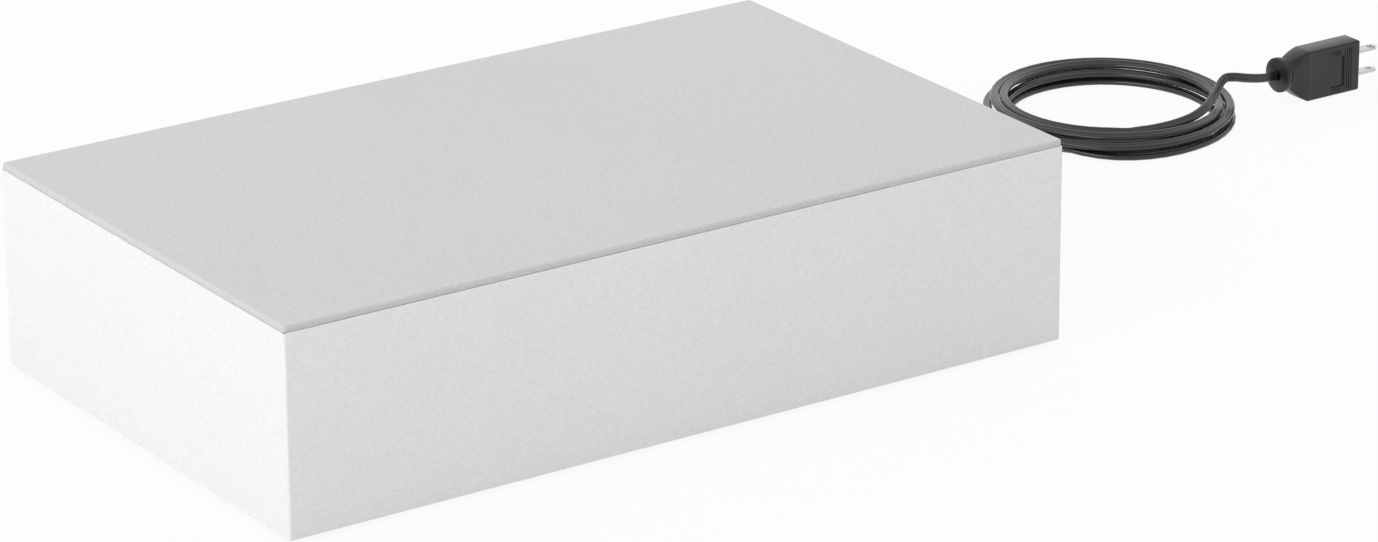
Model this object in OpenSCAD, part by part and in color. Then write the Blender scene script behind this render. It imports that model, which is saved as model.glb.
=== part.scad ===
// Desk light box: a white sheet-steel case with an opal lift-off panel over two
// tubular lamps, and a flat two-core mains cord coiled beside it.
// Millimetres. Origin on the floor under the middle of the box, +X along its length
// towards the cord, +Y across it, +Z up.

/* [Box] */
// Length of the box along X
box_l = 440; // [436:1:450]
// Depth of the box along Y
box_w = 268; // [264:1:280]
// Height of the steel walls
wall_h = 101; // [98:1:110]
// Thickness of the casing's sheet
sheet_t = 1; // [0.8:0.1:1.2]
// Outside radius of the casing's upright corners
corner_r = 1.5; // [1.4:0.1:2.4]
// Width of the ledge that carries the panel
ledge_w = 12; // [11:0.5:13]
// Width of the bottom flange that the base plate screws to
bottom_flange_w = 18; // [16:1:20]
// Height of the rubber feet
foot_h = 2.5; // [2.2:0.1:4]
// Radius of a rubber foot
foot_r = 7; // [5:0.5:8]

/* [Panel] */
// Thickness of the opal panel
panel_t = 3.2; // [3:0.1:4]
// How far the panel stands back from the casing's faces
panel_inset = 0.5; // [0.4:0.1:1.5]
// Corner radius of the panel in plan
panel_corner_r = 1.5; // [1.5:0.5:6]
// Radius along the panel's upper edge
panel_edge_r = 1.2; // [0.8:0.1:1.6]
// Thickness of the foam tape under the panel
seal_t = 0.3; // [0.3:0.1:0.8]

/* [Reflector] */
// Height of the reflector's floor above the base plate
post_h = 40; // [39:0.5:42]
// Half width of the reflector's flat floor
floor_half_w = 92; // [88:1:93]
// Run and rise of each 45 degree wing
wing_run = 28; // [22:1:28]

/* [Lamps] */
// Lamp length between the faces of its end caps
lamp_l = 361.2; // [358:0.2:364]
// Radius of the glass
lamp_r = 12.7; // [12.5:0.1:13]
// Distance between the two lamps' axes
lamp_pitch = 130; // [124:2:134]

/* [Switch] */
// Place of the switch along the right end, from the middle
switch_y = 75; // [65:1:85]
// Height of the switch's middle
switch_z = 24; // [22:0.5:27]
// Angle between the rocker's off and on positions
rocker_throw = 20; // [16:1:22]

/* [Cord] */
// Width of the flat cord
cord_w = 5; // [4.8:0.1:5]
// Thickness of the flat cord
cord_t = 2.9; // [2.7:0.1:2.9]
// Steepest slope of the flat cord in the coil: outer edge low in front, high at the back
cord_lean = 34; // [30:1:35]

/* [Plug] */
// Height of the plug as it stands on its narrow edge
plug_h = 28.8; // [27:0.2:30]
// Thickness of the plug
plug_t = 13.2; // [12.4:0.2:14]
// Free length of the blades
blade_l = 16.3; // [15.9:0.1:18]

/* [Hidden] */

// Cutting tools run past the faces they cut by this much
CUT = 1;
ROUND = 48;

// Heights of the casing, from the floor up
plate_t = 1;
wall_z0 = foot_h;
plate_z1 = wall_z0 + plate_t;
flange_z1 = plate_z1 + sheet_t;
wall_z1 = wall_z0 + wall_h;
seal_z1 = wall_z1 + seal_t;
panel_z1 = seal_z1 + panel_t;

inner_l = box_l - 2 * sheet_t;
inner_w = box_w - 2 * sheet_t;
opening_l = box_l - 2 * ledge_w;
opening_w = box_w - 2 * ledge_w;
end_x = box_l / 2;

// Base plate, its screws and the feet
plate_gap = 0.3;
foot_inset = 18;
screw_inset = 9;
BASE_SCREWS = [
    for (x = [-150, 0, 150]) for (s = [-1, 1]) [x, s * (box_w / 2 - screw_inset)],
    for (s = [-1, 1]) [s * (box_l / 2 - screw_inset), 0]];
m4_r = 1.95;
m4_clear_r = 2.2;
m4_thread_r = 2;
m4_head_r = 3.8;
m4_head_h = 1.6;
m4_reach = 4;

// Panel and the strips that locate it in the opening
cleat_w = 6;
cleat_h = 5;
cleat_gap = 1;
seal_inset = 2.5;
edge_steps = 6;

// Reflector tray and the posts under it
tray_t = 0.8;
tray_l = 410;
tray_z0 = plate_z1 + post_h;
tray_z1 = tray_z0 + tray_t;
POSTS = [for (x = [-165, 165]) for (y = [-70, 70]) [x, y]];
post_r = 5;
m3_r = 1.45;
m3_thread_r = 1.5;
m3_clear_r = 1.7;
m3_head_r = 2.9;
m3_head_h = 1.5;
post_screw_depth = 9;
post_bore_depth = 11;

// Lampholders: upright blocks with a turning disc for the lamp's two pins
holder_gap = 0.5;
holder_t = 12;
holder_half_w = 12;
lamp_axis_h = 23;
lamp_z = tray_z1 + lamp_axis_h;
rotor_r = 9;
rotor_clear = 0.05;
rotor_back = 8.4;
rotor_front = 0.2;
rotor_slot_back = 7.2;
cavity_depth = 8.6;
slot_w = 3.2;
holder_screw_x = 6;
holder_screw_depth = 8;
holder_bore_depth = 9;
holder_x = lamp_l / 2 + holder_gap;
LAMP_Y = [-lamp_pitch / 2, lamp_pitch / 2];

// Lamps
glass_t = 0.7;
cap_r = lamp_r + 0.5;
cap_l = 11;
cap_end_t = 2;
cap_fit = 0.05;
pin_r = 1.2;
pin_l = 7.1;
pin_offset = 6.35;

// Grommets for the wires, at the tray's ends
grommet_x = 200.5;
grommet_r = 4;
grommet_bore_r = 2.7;
grommet_lip = 1.4;
grommet_lip_t = 1;

// Starters in sockets that hang under the tray
STARTER_X = [-40, 40];
socket_r = 14;
socket_bore_r = 11;
socket_h = 23.5;
socket_floor_t = 3.5;
socket_ear_l = 44;
socket_ear_w = 14;
socket_ear_t = 2;
rivet_x = 18;
rivet_r = 1.5;
rivet_head_r = 2.6;
rivet_head_h = 0.8;
can_r = 10.6;
can_h = 33;
can_edge_r = 2;
starter_base_h = 3;
stud_r = 2;
stud_l = 3;
stud_offset = 6;
socket_z0 = tray_z0 - socket_h;
starter_z0 = socket_z0 + socket_floor_t;

// Chokes: a laminated core, a winding on its middle limb and a steel strap
CHOKE_X = [-105, 105];
core_l = 60;
core_d = 30;
core_h = 34;
limb_w = 18;
yoke_h = 7;
window_w = 13;
coil_gap = 0.3;
winding_w = 11.5;
strap_t = 1.2;
strap_w = 26;
ear_l = 12;
choke_screw_x = core_l / 2 + strap_t + ear_l / 2;

// Terminal block and its clamping screws
block_x = 128;
block_y = -60;
block_l = 44;
block_w = 18;
block_h = 15;
block_poles = 4;
block_pitch = 10;
clamp_screw_r = 1.8;
clamp_screw_bore_r = 2.1;
clamp_screw_h = 5;
clamp_bore_depth = 7;
clamp_row = 5;

// Switch: a snap-in housing with a rocker on two pivots
bezel_w = 15;
bezel_h = 21;
bezel_t = 1.6;
switch_w = 12.8;
switch_h = 19.2;
switch_depth = 20;
switch_fit = 0.1;
rocker_w = 10.9;
rocker_r = 8.45;
rocker_well_w = 11.2;
rocker_well_half_h = 8.75;
rocker_well_depth = 7.2;
pivot_in = 0.4;
pivot_r = 1.2;
pivot_bore_r = 1.25;
pivot_l = 12.4;
face_out = 2.2;
rocker_back = 3;
tab_l = 8;
tab_w = 4.8;
tab_t = 0.8;
tab_offset = 5;
pivot_x = end_x - pivot_in;

// Cord bushing in the right end wall
bushing_y = 20;
bushing_z = 18;
bushing_hole_r = 7;
bushing_fit = 0.05;
bushing_sleeve_l = 28;

// Cord: a centre line of round points, counted from the right end wall
wire_r = 1.2;
bushing_tip = bushing_sleeve_l + 2.5;
LEAD_ROUTE = [
    [30.5, 20, 18], [36, 20, 18], [47, 20.5, 16.5], [58, 23, 12.5], [69, 28, 8],
    [79, 35, 4.5], [87, 44, 2.4], [93, 55, 1.8], [96, 67, 1.8], [97, 80, 1.8],
    [97, 93, 1.8], [97, 106, 1.8], [98, 119, 1.8], [100, 132, 1.8], [104, 145, 1.8],
    [110, 157, 1.8], [119, 167, 1.8], [130, 172.4, 1.85], [141, 171.6, 1.9],
    [150.6, 165, 1.9], [157.6, 154, 1.95], [161.8, 141, 1.95], [163.6, 128, 1.95],
    [163.9, 117, 1.95]];
TAIL_ROUTE = [
    [211, 68.4, 10.7], [221, 66.2, 10.9], [232, 65.2, 11.5], [243, 65.4, 12.8],
    [254, 68.8, 14.6], [264.5, 75.4, 16.5], [272.5, 81.2, 18.2], [278.4, 85.2, 20],
    [283, 86.8, 21], [288, 85.4, 20.8], [294, 83.8, 19.6], [301, 83.2, 18.2],
    [308, 83.2, 17.2], [315.7, 83.2, 17]];
cord_sides = 8;

// Coil: one tube wound five times round. The first turn lies inside on the floor and the
// second on top of it; then it comes down outside and climbs again as it draws in.
// Each key is the radius and the height of the cord's middle, eight keys to a turn.
coil_x = 226.9;
coil_y = 120.2;
coil_sides = 6;
rings_per_turn = 24;
keys_per_turn = 8;
coil_front_angle = 236;
COIL_KEYS = [
    [63.2, 1.95], [60.0, 2.15], [61.4, 2.0], [58.8, 1.75], [56.2, 2.0], [55.2, 2.25],
    [54.4, 2.25], [54.6, 2.6], [56.6, 4.9], [59.0, 6.6], [62.2, 5.7], [62.8, 5.0],
    [58.2, 6.0], [55.3, 6.8], [54.4, 6.8], [56.8, 5.9], [62.4, 6.3], [69.5, 2.35],
    [69.6, 2.5], [67.2, 2.8], [64.4, 3.5], [63.2, 4.9], [64.0, 6.5], [65.4, 7.6],
    [67.6, 7.9], [68.6, 7.25], [67.9, 7.2], [66.8, 8.3], [65.4, 9.5], [64.2, 10.4],
    [62.5, 11.2], [61.6, 11.8], [62.4, 11.5], [62.9, 11.0], [61.9, 10.2], [60.6, 8.9],
    [60.0, 10.1], [58.7, 11.0], [57.2, 11.1], [56.4, 12.0], [55.2, 11.5], [55.0, 11.1]];
coil_from = -2.125;
coil_to = coil_from + (len(COIL_KEYS) - 1) / keys_per_turn;
coil_rings = round((coil_to - coil_from) * rings_per_turn);

// Plug, counted from the right end wall
plug_x = 315.7;
plug_y = 83.2;
plug_neck_z = 17;
disc_r = 9.7;
disc_t = 4.7;
neck_r = 8.4;
disc_step_r = 8.9;
shoulder_l = 13;
plug_body_l = 36;
plug_corner_r = 1.6;
recess_l = 9;
recess_h = 17;
recess_in = 0.6;
recess_x = disc_t + shoulder_l + 15.5;
recess_z = 4.9;
rib_w = 0.6;
rib_out = 0.35;
rib_x = 25.4;
rib_pitch = 1.45;
rib_margin = 1.6;
blade_z = 14;
blade_gap = 12.7;
blade_w = 6.35;
blade_t = 1.5;
blade_hole_r = 1.6;
blade_hole_in = 11.7;

// Geometry that several pieces share

module rounded_rect(l, w, r) {
    square([l - 2 * r, w], center = true);
    square([l, w - 2 * r], center = true);
    for (x = [-1, 1])
        for (y = [-1, 1])
            translate([x * (l / 2 - r), y * (w / 2 - r)])
                circle(r, $fn = ROUND);
}

module slab(l, w, r, z0, z1) {
    translate([0, 0, z0])
        linear_extrude(z1 - z0)
            rounded_rect(l, w, r);
}

// A straight rod between two heights
module rod(r, z0, z1) {
    translate([0, 0, z0])
        cylinder(r = r, h = z1 - z0, $fn = ROUND);
}

module rod_cone(r0, r1, z0, z1) {
    translate([0, 0, z0])
        cylinder(r1 = r0, r2 = r1, h = z1 - z0, $fn = ROUND);
}

// Turns what is drawn along +Z to run along +X
module along_x() {
    rotate([0, 90, 0])
        children();
}

// Puts an outline drawn as (y, z) upright and thickens it along +X
module upright(thickness) {
    rotate([90, 0, 90])
        linear_extrude(thickness)
            children();
}

// A pan-head screw: the head above z = 0, the shank below it
module screw(head_r, head_h, shank_r, reach) {
    rod(head_r, 0, head_h);
    rod(shank_r, -reach, 0);
}

function unit(v) = v / norm(v);

function lerp(a, b, t) = a + (b - a) * t;

function ease(t) = (1 - cos(180 * t)) / 2;

// Outline of a flat cord: two half rounds, sides / 2 points on each
function cord_outline(w, t, sides) = [
    for (e = [1, -1])
        for (k = [0 : sides / 2 - 1])
            let (a = -90 + 180 * k / (sides / 2 - 1))
                [e * ((w - t) / 2 + t / 2 * cos(a)), e * t / 2 * sin(a)]];

function ring_outline(r, sides) = [
    for (k = [0 : sides - 1]) [r * cos(360 * k / sides), r * sin(360 * k / sides)]];

// Direction of travel at point i of a route
function heading(route, i) =
    let (last = len(route) - 1)
        unit(route[min(i + 1, last)] - route[max(i - 1, 0)]);

// The outline set square across the route, rolled about it
function cord_ring(p, dir, outline, roll) =
    let (side = unit(cross(dir, abs(dir[2]) > 0.9 ? [0, 1, 0] : [0, 0, 1])))
        let (up = cross(side, dir))
            [for (q = outline)
                p + side * (q[0] * cos(roll) - q[1] * sin(roll))
                  + up * (q[0] * sin(roll) + q[1] * cos(roll))];

// One tube along a route: rings, sides and two end faces, all triangles
module tube(route, headings, outline, rolls) {
    n = len(route);
    m = len(outline);
    rings = [for (i = [0 : n - 1])
        for (p = cord_ring(route[i], headings[i], outline, rolls[i])) p];
    walls = [for (i = [0 : n - 2])
        for (k = [0 : m - 1])
            let (a = i * m + k, b = i * m + (k + 1) % m)
                each [[a, b, b + m], [a, b + m, a + m]]];
    ends = [for (k = [1 : m - 2])
        each [[0, k + 1, k], [(n - 1) * m, (n - 1) * m + k, (n - 1) * m + k + 1]]];
    polyhedron(points = rings, faces = concat(walls, ends));
}

module wire(route) {
    tube(
        route,
        [for (i = [0 : len(route) - 1]) heading(route, i)],
        ring_outline(wire_r, 8),
        [for (p = route) 0]);
}

// Casing and base

module casing() {
    color("white")
        difference() {
            slab(box_l, box_w, corner_r, wall_z0, wall_z1);
            slab(inner_l, inner_w, corner_r - sheet_t + 0.1, wall_z0 - CUT, plate_z1);
            slab(inner_l, inner_w, corner_r - sheet_t + 0.1, flange_z1, wall_z1 - sheet_t);
            slab(opening_l, opening_w, 2, flange_z1, wall_z1 + CUT);
            slab(box_l - 2 * bottom_flange_w, box_w - 2 * bottom_flange_w, 2,
                wall_z0, flange_z1 + CUT);
            for (p = BASE_SCREWS)
                translate(p)
                    rod(m4_thread_r, wall_z0, flange_z1 + CUT);
            translate([end_x - 2 * sheet_t, bushing_y, bushing_z])
                along_x()
                    rod(bushing_hole_r, 0, 4 * sheet_t);
            translate([end_x, switch_y, switch_z])
                cube([4 * sheet_t, switch_w + 2 * switch_fit, switch_h + 2 * switch_fit],
                    center = true);
        }
}

module base_plate() {
    color("whitesmoke")
        difference() {
            slab(inner_l - 2 * plate_gap, inner_w - 2 * plate_gap, 1.5, wall_z0, plate_z1);
            for (p = BASE_SCREWS)
                translate(p)
                    rod(m4_clear_r, wall_z0 - CUT, plate_z1 + CUT);
            for (p = POSTS)
                translate(p)
                    rod(m3_clear_r, wall_z0 - CUT, plate_z1 + CUT);
            for (x = CHOKE_X)
                for (s = [-1, 1])
                    translate([x + s * choke_screw_x, 0, 0])
                        rod(m3_clear_r, wall_z0 - CUT, plate_z1 + CUT);
        }
}

module base_screws() {
    color("silver")
        for (p = BASE_SCREWS)
            translate([p[0], p[1], wall_z0])
                rotate([180, 0, 0])
                    screw(m4_head_r, m4_head_h, m4_r, m4_reach);
}

module feet() {
    color("dimgray")
        for (x = [-1, 1])
            for (y = [-1, 1])
                translate([x * (box_l / 2 - foot_inset), y * (box_w / 2 - foot_inset), 0])
                    rod(foot_r, 0, foot_h);
}

// Panel

function edge_arc(cx, cz, r) = [
    for (i = [0 : edge_steps]) [cx + r * cos(90 * i / edge_steps), cz + r * sin(90 * i / edge_steps)]];

// Half of the panel's cross-section, from its middle out to w, rounded at the top
function half_section(w, h, r) = concat([[0, 0], [w, 0]], edge_arc(w - r, h - r, r), [[0, h]]);

module edge_rounded_plate(l, w, h, rc, re) {
    half_l = half_section(l / 2, h, re);
    half_w = half_section(w / 2, h, re);
    for (s = [0, 180]) {
        rotate([0, 0, s])
            translate([-(l / 2 - rc), 0, 0])
                upright(l - 2 * rc)
                    polygon(half_w);
        rotate([0, 0, s])
            translate([0, w / 2 - rc, 0])
                rotate([90, 0, 0])
                    linear_extrude(w - 2 * rc)
                        polygon(half_l);
    }
    for (x = [-1, 1])
        for (y = [-1, 1])
            translate([x * (l / 2 - rc), y * (w / 2 - rc), 0])
                rotate_extrude($fn = ROUND)
                    polygon(half_section(rc, h, re));
}

module diffuser_panel() {
    color("gainsboro")
        translate([0, 0, seal_z1])
            edge_rounded_plate(box_l - 2 * panel_inset, box_w - 2 * panel_inset, panel_t,
                panel_corner_r, panel_edge_r);
}

module panel_cleats() {
    l = opening_l - 2 * cleat_gap;
    w = opening_w - 2 * cleat_gap;
    z = seal_z1 - cleat_h;
    color("white") {
        for (s = [-1, 1])
            translate([-l / 2, s * (w - cleat_w) / 2 - cleat_w / 2, z])
                cube([l, cleat_w, cleat_h]);
        for (s = [-1, 1])
            translate([s * (l - cleat_w) / 2 - cleat_w / 2, -(w / 2 - cleat_w - 2), z])
                cube([cleat_w, w - 2 * cleat_w - 4, cleat_h]);
    }
}

module panel_seal() {
    color("dimgray")
        difference() {
            slab(box_l - 2 * seal_inset, box_w - 2 * seal_inset, 2, wall_z1, seal_z1);
            slab(opening_l, opening_w, 2, wall_z1 - CUT, seal_z1 + CUT);
        }
}

// Reflector tray and what stands under it

module tray_outline() {
    bend = tray_t * tan(22.5);
    tip = tray_t * sin(45);
    right = [
        [floor_half_w, 0], [floor_half_w + wing_run, wing_run],
        [floor_half_w + wing_run - tip, wing_run + tip], [floor_half_w - bend, tray_t]];
    polygon(concat(right, [for (i = [3 : -1 : 0]) [-right[i][0], right[i][1]]]));
}

module reflector_tray() {
    color("white")
        difference() {
            translate([-tray_l / 2, 0, tray_z0])
                upright(tray_l)
                    tray_outline();
            for (p = POSTS)
                translate(p)
                    rod(m3_clear_r, tray_z0 - CUT, tray_z1 + CUT);
            for (x = STARTER_X) {
                translate([x, 0, 0])
                    rod(socket_bore_r + 0.5, tray_z0 - CUT, tray_z1 + CUT);
                for (s = [-1, 1])
                    translate([x + s * rivet_x, 0, 0])
                        rod(rivet_r, tray_z0 - CUT, tray_z1 + CUT);
            }
            for (x = [-grommet_x, grommet_x])
                for (y = LAMP_Y)
                    translate([x, y, 0])
                        rod(grommet_r, tray_z0 - CUT, tray_z1 + CUT);
            for (s = [-1, 1])
                for (y = LAMP_Y)
                    translate([s * (holder_x + holder_screw_x), y, 0])
                        rod(m3_clear_r, tray_z0 - CUT, tray_z1 + CUT);
        }
}

module tray_posts() {
    color("silver")
        for (p = POSTS)
            translate(p)
                difference() {
                    rod(post_r, plate_z1, tray_z0);
                    rod(m3_thread_r, plate_z1 - CUT, plate_z1 + post_bore_depth);
                    rod(m3_thread_r, tray_z0 - post_bore_depth, tray_z0 + CUT);
                }
}

module tray_screws() {
    color("silver")
        for (p = POSTS)
            translate([p[0], p[1], tray_z1])
                screw(m3_head_r, m3_head_h, m3_r, post_screw_depth);
}

module post_screws() {
    color("silver")
        for (p = POSTS)
            translate([p[0], p[1], wall_z0])
                rotate([180, 0, 0])
                    screw(m3_head_r, m3_head_h, m3_r, post_screw_depth);
}

module grommets() {
    color("black")
        for (x = [-grommet_x, grommet_x])
            for (y = LAMP_Y)
                translate([x, y, tray_z0])
                    rotate_extrude($fn = ROUND)
                        polygon([
                            [grommet_bore_r, -grommet_lip_t],
                            [grommet_r + grommet_lip, -grommet_lip_t],
                            [grommet_r + grommet_lip, 0], [grommet_r, 0],
                            [grommet_r, tray_t], [grommet_r + grommet_lip, tray_t],
                            [grommet_r + grommet_lip, tray_t + grommet_lip_t],
                            [grommet_bore_r, tray_t + grommet_lip_t]]);
}

// Lampholders and lamps

// One lampholder, its inner face at x = 0 and its foot at z = 0
module lampholder() {
    difference() {
        upright(holder_t)
            union() {
                translate([-holder_half_w, 0])
                    square([2 * holder_half_w, lamp_axis_h]);
                translate([0, lamp_axis_h])
                    circle(holder_half_w, $fn = ROUND);
            }
        translate([0, 0, lamp_axis_h])
            along_x()
                rod(rotor_r + rotor_clear, -CUT, cavity_depth);
        translate([-CUT, -slot_w / 2, lamp_axis_h])
            cube([cavity_depth + CUT, slot_w, holder_half_w + CUT]);
        translate([holder_screw_x, 0, 0])
            rod(m3_thread_r, -CUT, holder_bore_depth);
    }
}

module at_lamp_ends(y) {
    for (s = [0, 180])
        rotate([0, 0, s])
            translate([holder_x, s == 0 ? y : -y, tray_z1])
                children();
}

module lampholders() {
    color("white")
        for (y = LAMP_Y)
            at_lamp_ends(y)
                lampholder();
}

module holder_screws() {
    color("silver")
        for (y = LAMP_Y)
            at_lamp_ends(y)
                translate([holder_screw_x, 0, -tray_t])
                    rotate([180, 0, 0])
                        screw(m3_head_r, m3_head_h, m3_r, holder_screw_depth);
}

module lamp_tube(y) {
    half = lamp_l / 2 - cap_end_t;
    color("ghostwhite")
        translate([0, y, lamp_z])
            along_x()
                difference() {
                    rod(lamp_r, -half, half);
                    rod(lamp_r - glass_t, -half - CUT, half + CUT);
                }
}

module lamp_caps(y) {
    color("silver")
        translate([0, y, lamp_z])
            for (s = [0, 180])
                rotate([0, 0, s])
                    along_x()
                        difference() {
                            rod(cap_r, lamp_l / 2 - cap_l, lamp_l / 2);
                            rod(lamp_r + cap_fit, lamp_l / 2 - cap_l - CUT, lamp_l / 2 - cap_end_t);
                        }
}

module lamp_pins(y) {
    color("gold")
        translate([0, y, lamp_z])
            for (s = [0, 180])
                rotate([0, 0, s])
                    for (k = [-1, 1])
                        translate([0, k * pin_offset, 0])
                            along_x()
                                rod(pin_r, lamp_l / 2, lamp_l / 2 + pin_l);
}

module lamp_rotors(y) {
    color("whitesmoke")
        at_lamp_ends(y)
            translate([0, 0, lamp_axis_h])
                difference() {
                    along_x()
                        rod(rotor_r, rotor_front, rotor_back);
                    translate([-CUT, -rotor_r - CUT, -pin_r])
                        cube([rotor_slot_back + CUT, 2 * (rotor_r + CUT), 2 * pin_r]);
                }
}

// Starters

module starter_sockets() {
    color("ivory")
        for (x = STARTER_X)
            translate([x, 0, 0])
                difference() {
                    union() {
                        rod(socket_r, socket_z0, tray_z0);
                        translate([-socket_ear_l / 2, -socket_ear_w / 2, tray_z0 - socket_ear_t])
                            cube([socket_ear_l, socket_ear_w, socket_ear_t]);
                    }
                    rod(socket_bore_r, starter_z0, tray_z0 + CUT);
                    for (s = [-1, 1]) {
                        translate([0, s * stud_offset, 0])
                            rod(stud_r + 0.2, socket_z0 - CUT, starter_z0 + CUT);
                        translate([s * rivet_x, 0, 0])
                            rod(rivet_r, tray_z0 - socket_ear_t - CUT, tray_z0 + CUT);
                    }
                }
}

module socket_rivets() {
    color("silver")
        for (x = STARTER_X)
            for (s = [-1, 1])
                translate([x + s * rivet_x, 0, 0]) {
                    rod(rivet_r - 0.05, tray_z0 - socket_ear_t, tray_z1);
                    rod(rivet_head_r, tray_z1, tray_z1 + rivet_head_h);
                    rod(rivet_head_r, tray_z0 - socket_ear_t - rivet_head_h, tray_z0 - socket_ear_t);
                }
}

module starter_bases() {
    color("gray")
        for (x = STARTER_X)
            translate([x, 0, 0]) {
                rod(can_r - 0.3, starter_z0, starter_z0 + starter_base_h);
                for (s = [-1, 1])
                    translate([0, s * stud_offset, 0])
                        rod(stud_r, starter_z0 - stud_l, starter_z0);
            }
}

module starter_cans() {
    color("silver")
        for (x = STARTER_X)
            translate([x, 0, starter_z0 + starter_base_h])
                rotate_extrude($fn = ROUND)
                    polygon(half_section(can_r, can_h, can_edge_r));
}

// Chokes

module choke_cores() {
    color("slategray")
        for (x = CHOKE_X)
            translate([x - core_l / 2, -core_d / 2, plate_z1 + strap_t])
                difference() {
                    cube([core_l, core_d, core_h]);
                    for (s = [-1, 1])
                        translate([
                            core_l / 2 + s * (limb_w + window_w) / 2 - window_w / 2,
                            -CUT, yoke_h])
                            cube([window_w, core_d + 2 * CUT, core_h - 2 * yoke_h]);
                }
}

module choke_coils() {
    hole_l = limb_w + 2 * coil_gap;
    hole_w = core_d + 2 * coil_gap;
    l = limb_w + 2 * winding_w;
    w = core_d + 2 * winding_w;
    h = core_h - 2 * yoke_h - 2 * coil_gap;
    color("peru")
        for (x = CHOKE_X)
            translate([x, 0, plate_z1 + strap_t + yoke_h + coil_gap])
                linear_extrude(h)
                    difference() {
                        rounded_rect(l, w, 4);
                        square([hole_l, hole_w], center = true);
                    }
}

// A strap under the core and up its two ends, with an ear at each side
module choke_frames() {
    half = core_l / 2 + strap_t;
    foot = half + ear_l;
    up = core_h * 0.7;
    color("silver")
        for (x = CHOKE_X)
            translate([x, strap_w / 2, plate_z1])
                rotate([90, 0, 0])
                    difference() {
                        linear_extrude(strap_w)
                            polygon([
                                [-foot, 0], [foot, 0], [foot, strap_t], [half, strap_t],
                                [half, up], [core_l / 2, up], [core_l / 2, strap_t],
                                [-core_l / 2, strap_t], [-core_l / 2, up], [-half, up],
                                [-half, strap_t], [-foot, strap_t]]);
                        for (s = [-1, 1])
                            translate([s * choke_screw_x, -CUT, strap_w / 2])
                                rotate([-90, 0, 0])
                                    rod(m3_thread_r, 0, strap_t + 2 * CUT);
                    }
}

module choke_screws() {
    color("silver")
        for (x = CHOKE_X)
            for (s = [-1, 1])
                translate([x + s * choke_screw_x, 0, wall_z0])
                    rotate([180, 0, 0])
                        screw(m3_head_r, m3_head_h, m3_r, m4_reach);
}

// Terminal block

function pole_x(i) = block_x + (i - (block_poles - 1) / 2) * block_pitch;

module terminal_block() {
    color("ivory")
        difference() {
            translate([block_x - block_l / 2, block_y - block_w / 2, plate_z1])
                cube([block_l, block_w, block_h]);
            for (i = [0 : block_poles - 1])
                for (s = [-1, 1])
                    translate([pole_x(i), block_y + s * clamp_row, plate_z1 + block_h])
                        rod(clamp_screw_bore_r, -clamp_bore_depth, CUT);
        }
}

module terminal_screws() {
    color("gold")
        for (i = [0 : block_poles - 1])
            for (s = [-1, 1])
                translate([pole_x(i), block_y + s * clamp_row, plate_z1 + block_h])
                    rod(clamp_screw_r, -clamp_bore_depth, clamp_screw_h - clamp_bore_depth);
}

// Switch

module switch_housing() {
    color("#222222")
        translate([0, switch_y, switch_z])
            difference() {
                union() {
                    translate([end_x, -bezel_w / 2, -bezel_h / 2])
                        cube([bezel_t, bezel_w, bezel_h]);
                    translate([end_x - switch_depth, -switch_w / 2, -switch_h / 2])
                        cube([switch_depth, switch_w, switch_h]);
                }
                translate([
                    end_x + bezel_t - rocker_well_depth,
                    -rocker_well_w / 2, -rocker_well_half_h])
                    cube([rocker_well_depth + CUT, rocker_well_w, 2 * rocker_well_half_h]);
                translate([pivot_x, 0, 0])
                    rotate([90, 0, 0])
                        rod(pivot_bore_r, -pivot_l / 2 - 0.1, pivot_l / 2 + 0.1);
            }
}

// The rocker's side view, with its pivot at the origin and its face to +x
module rocker_outline() {
    dish = rocker_r * tan(rocker_throw / 2);
    intersection() {
        circle(rocker_r, $fn = 96);
        polygon([
            [-rocker_back, -rocker_r], [face_out + dish, -rocker_r], [face_out, 0],
            [face_out + dish, rocker_r], [-rocker_back, rocker_r]]);
    }
}

module switch_rocker() {
    color("black")
        translate([pivot_x, switch_y, switch_z])
            rotate([0, rocker_throw / 2, 0]) {
                rotate([90, 0, 0])
                    translate([0, 0, -rocker_w / 2])
                        linear_extrude(rocker_w)
                            rocker_outline();
                rotate([90, 0, 0])
                    rod(pivot_r, -pivot_l / 2, pivot_l / 2);
            }
}

module switch_tabs() {
    color("gold")
        for (s = [-1, 1])
            translate([
                end_x - switch_depth - tab_l, switch_y - tab_w / 2,
                switch_z + s * tab_offset - tab_t / 2])
                cube([tab_l, tab_w, tab_t]);
}

// Cord, bushing and plug

module cord_bushing() {
    neck = bushing_hole_r - bushing_fit;
    rings = 5;
    pitch = 4.6;
    color("#1c1c1c")
        translate([end_x, bushing_y, bushing_z])
            along_x()
                rotate_extrude($fn = ROUND)
                    polygon(concat(
                        [[0, -4], [8.6, -4], [8.6, -sheet_t], [neck, -sheet_t], [neck, 0],
                         [9.6, 0], [9.6, 1.6], [8.7, 2.5], [6.6, 2.5]],
                        [for (i = [0 : rings - 1])
                            for (q = [[0.0, 3.5], [0, 5.8], [-0.9, 6.1], [-0.9, 7.7]])
                                [6.2 - 0.4 * i + q[0], q[1] + pitch * i]],
                        [[4.2, bushing_tip], [0, bushing_tip]]));
}

function from_end(route) = [for (p = route) p + [end_x, 0, 0]];

// Roll of the flat cord along a free stretch, from one lie to the other
function rolls_between(a, b, n) = [for (i = [0 : n - 1]) lerp(a, b, ease(i / (n - 1)))];

module free_stretch(route, first_heading, last_heading, roll_a, roll_b) {
    n = len(route);
    headings = [for (i = [0 : n - 1])
        i == 0 ? first_heading : i == n - 1 ? last_heading : heading(route, i)];
    color("#2b2b2b")
        tube(route, headings, cord_outline(cord_w, cord_t, cord_sides),
            rolls_between(roll_a, roll_b, n));
}

// Key i of the coil; past either end the keys go on in a straight line
function coil_key(i) =
    let (last = len(COIL_KEYS) - 1)
        i < 0 ? 2 * COIL_KEYS[0] - COIL_KEYS[1]
        : i > last ? 2 * COIL_KEYS[last] - COIL_KEYS[last - 1]
        : COIL_KEYS[i];

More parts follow.
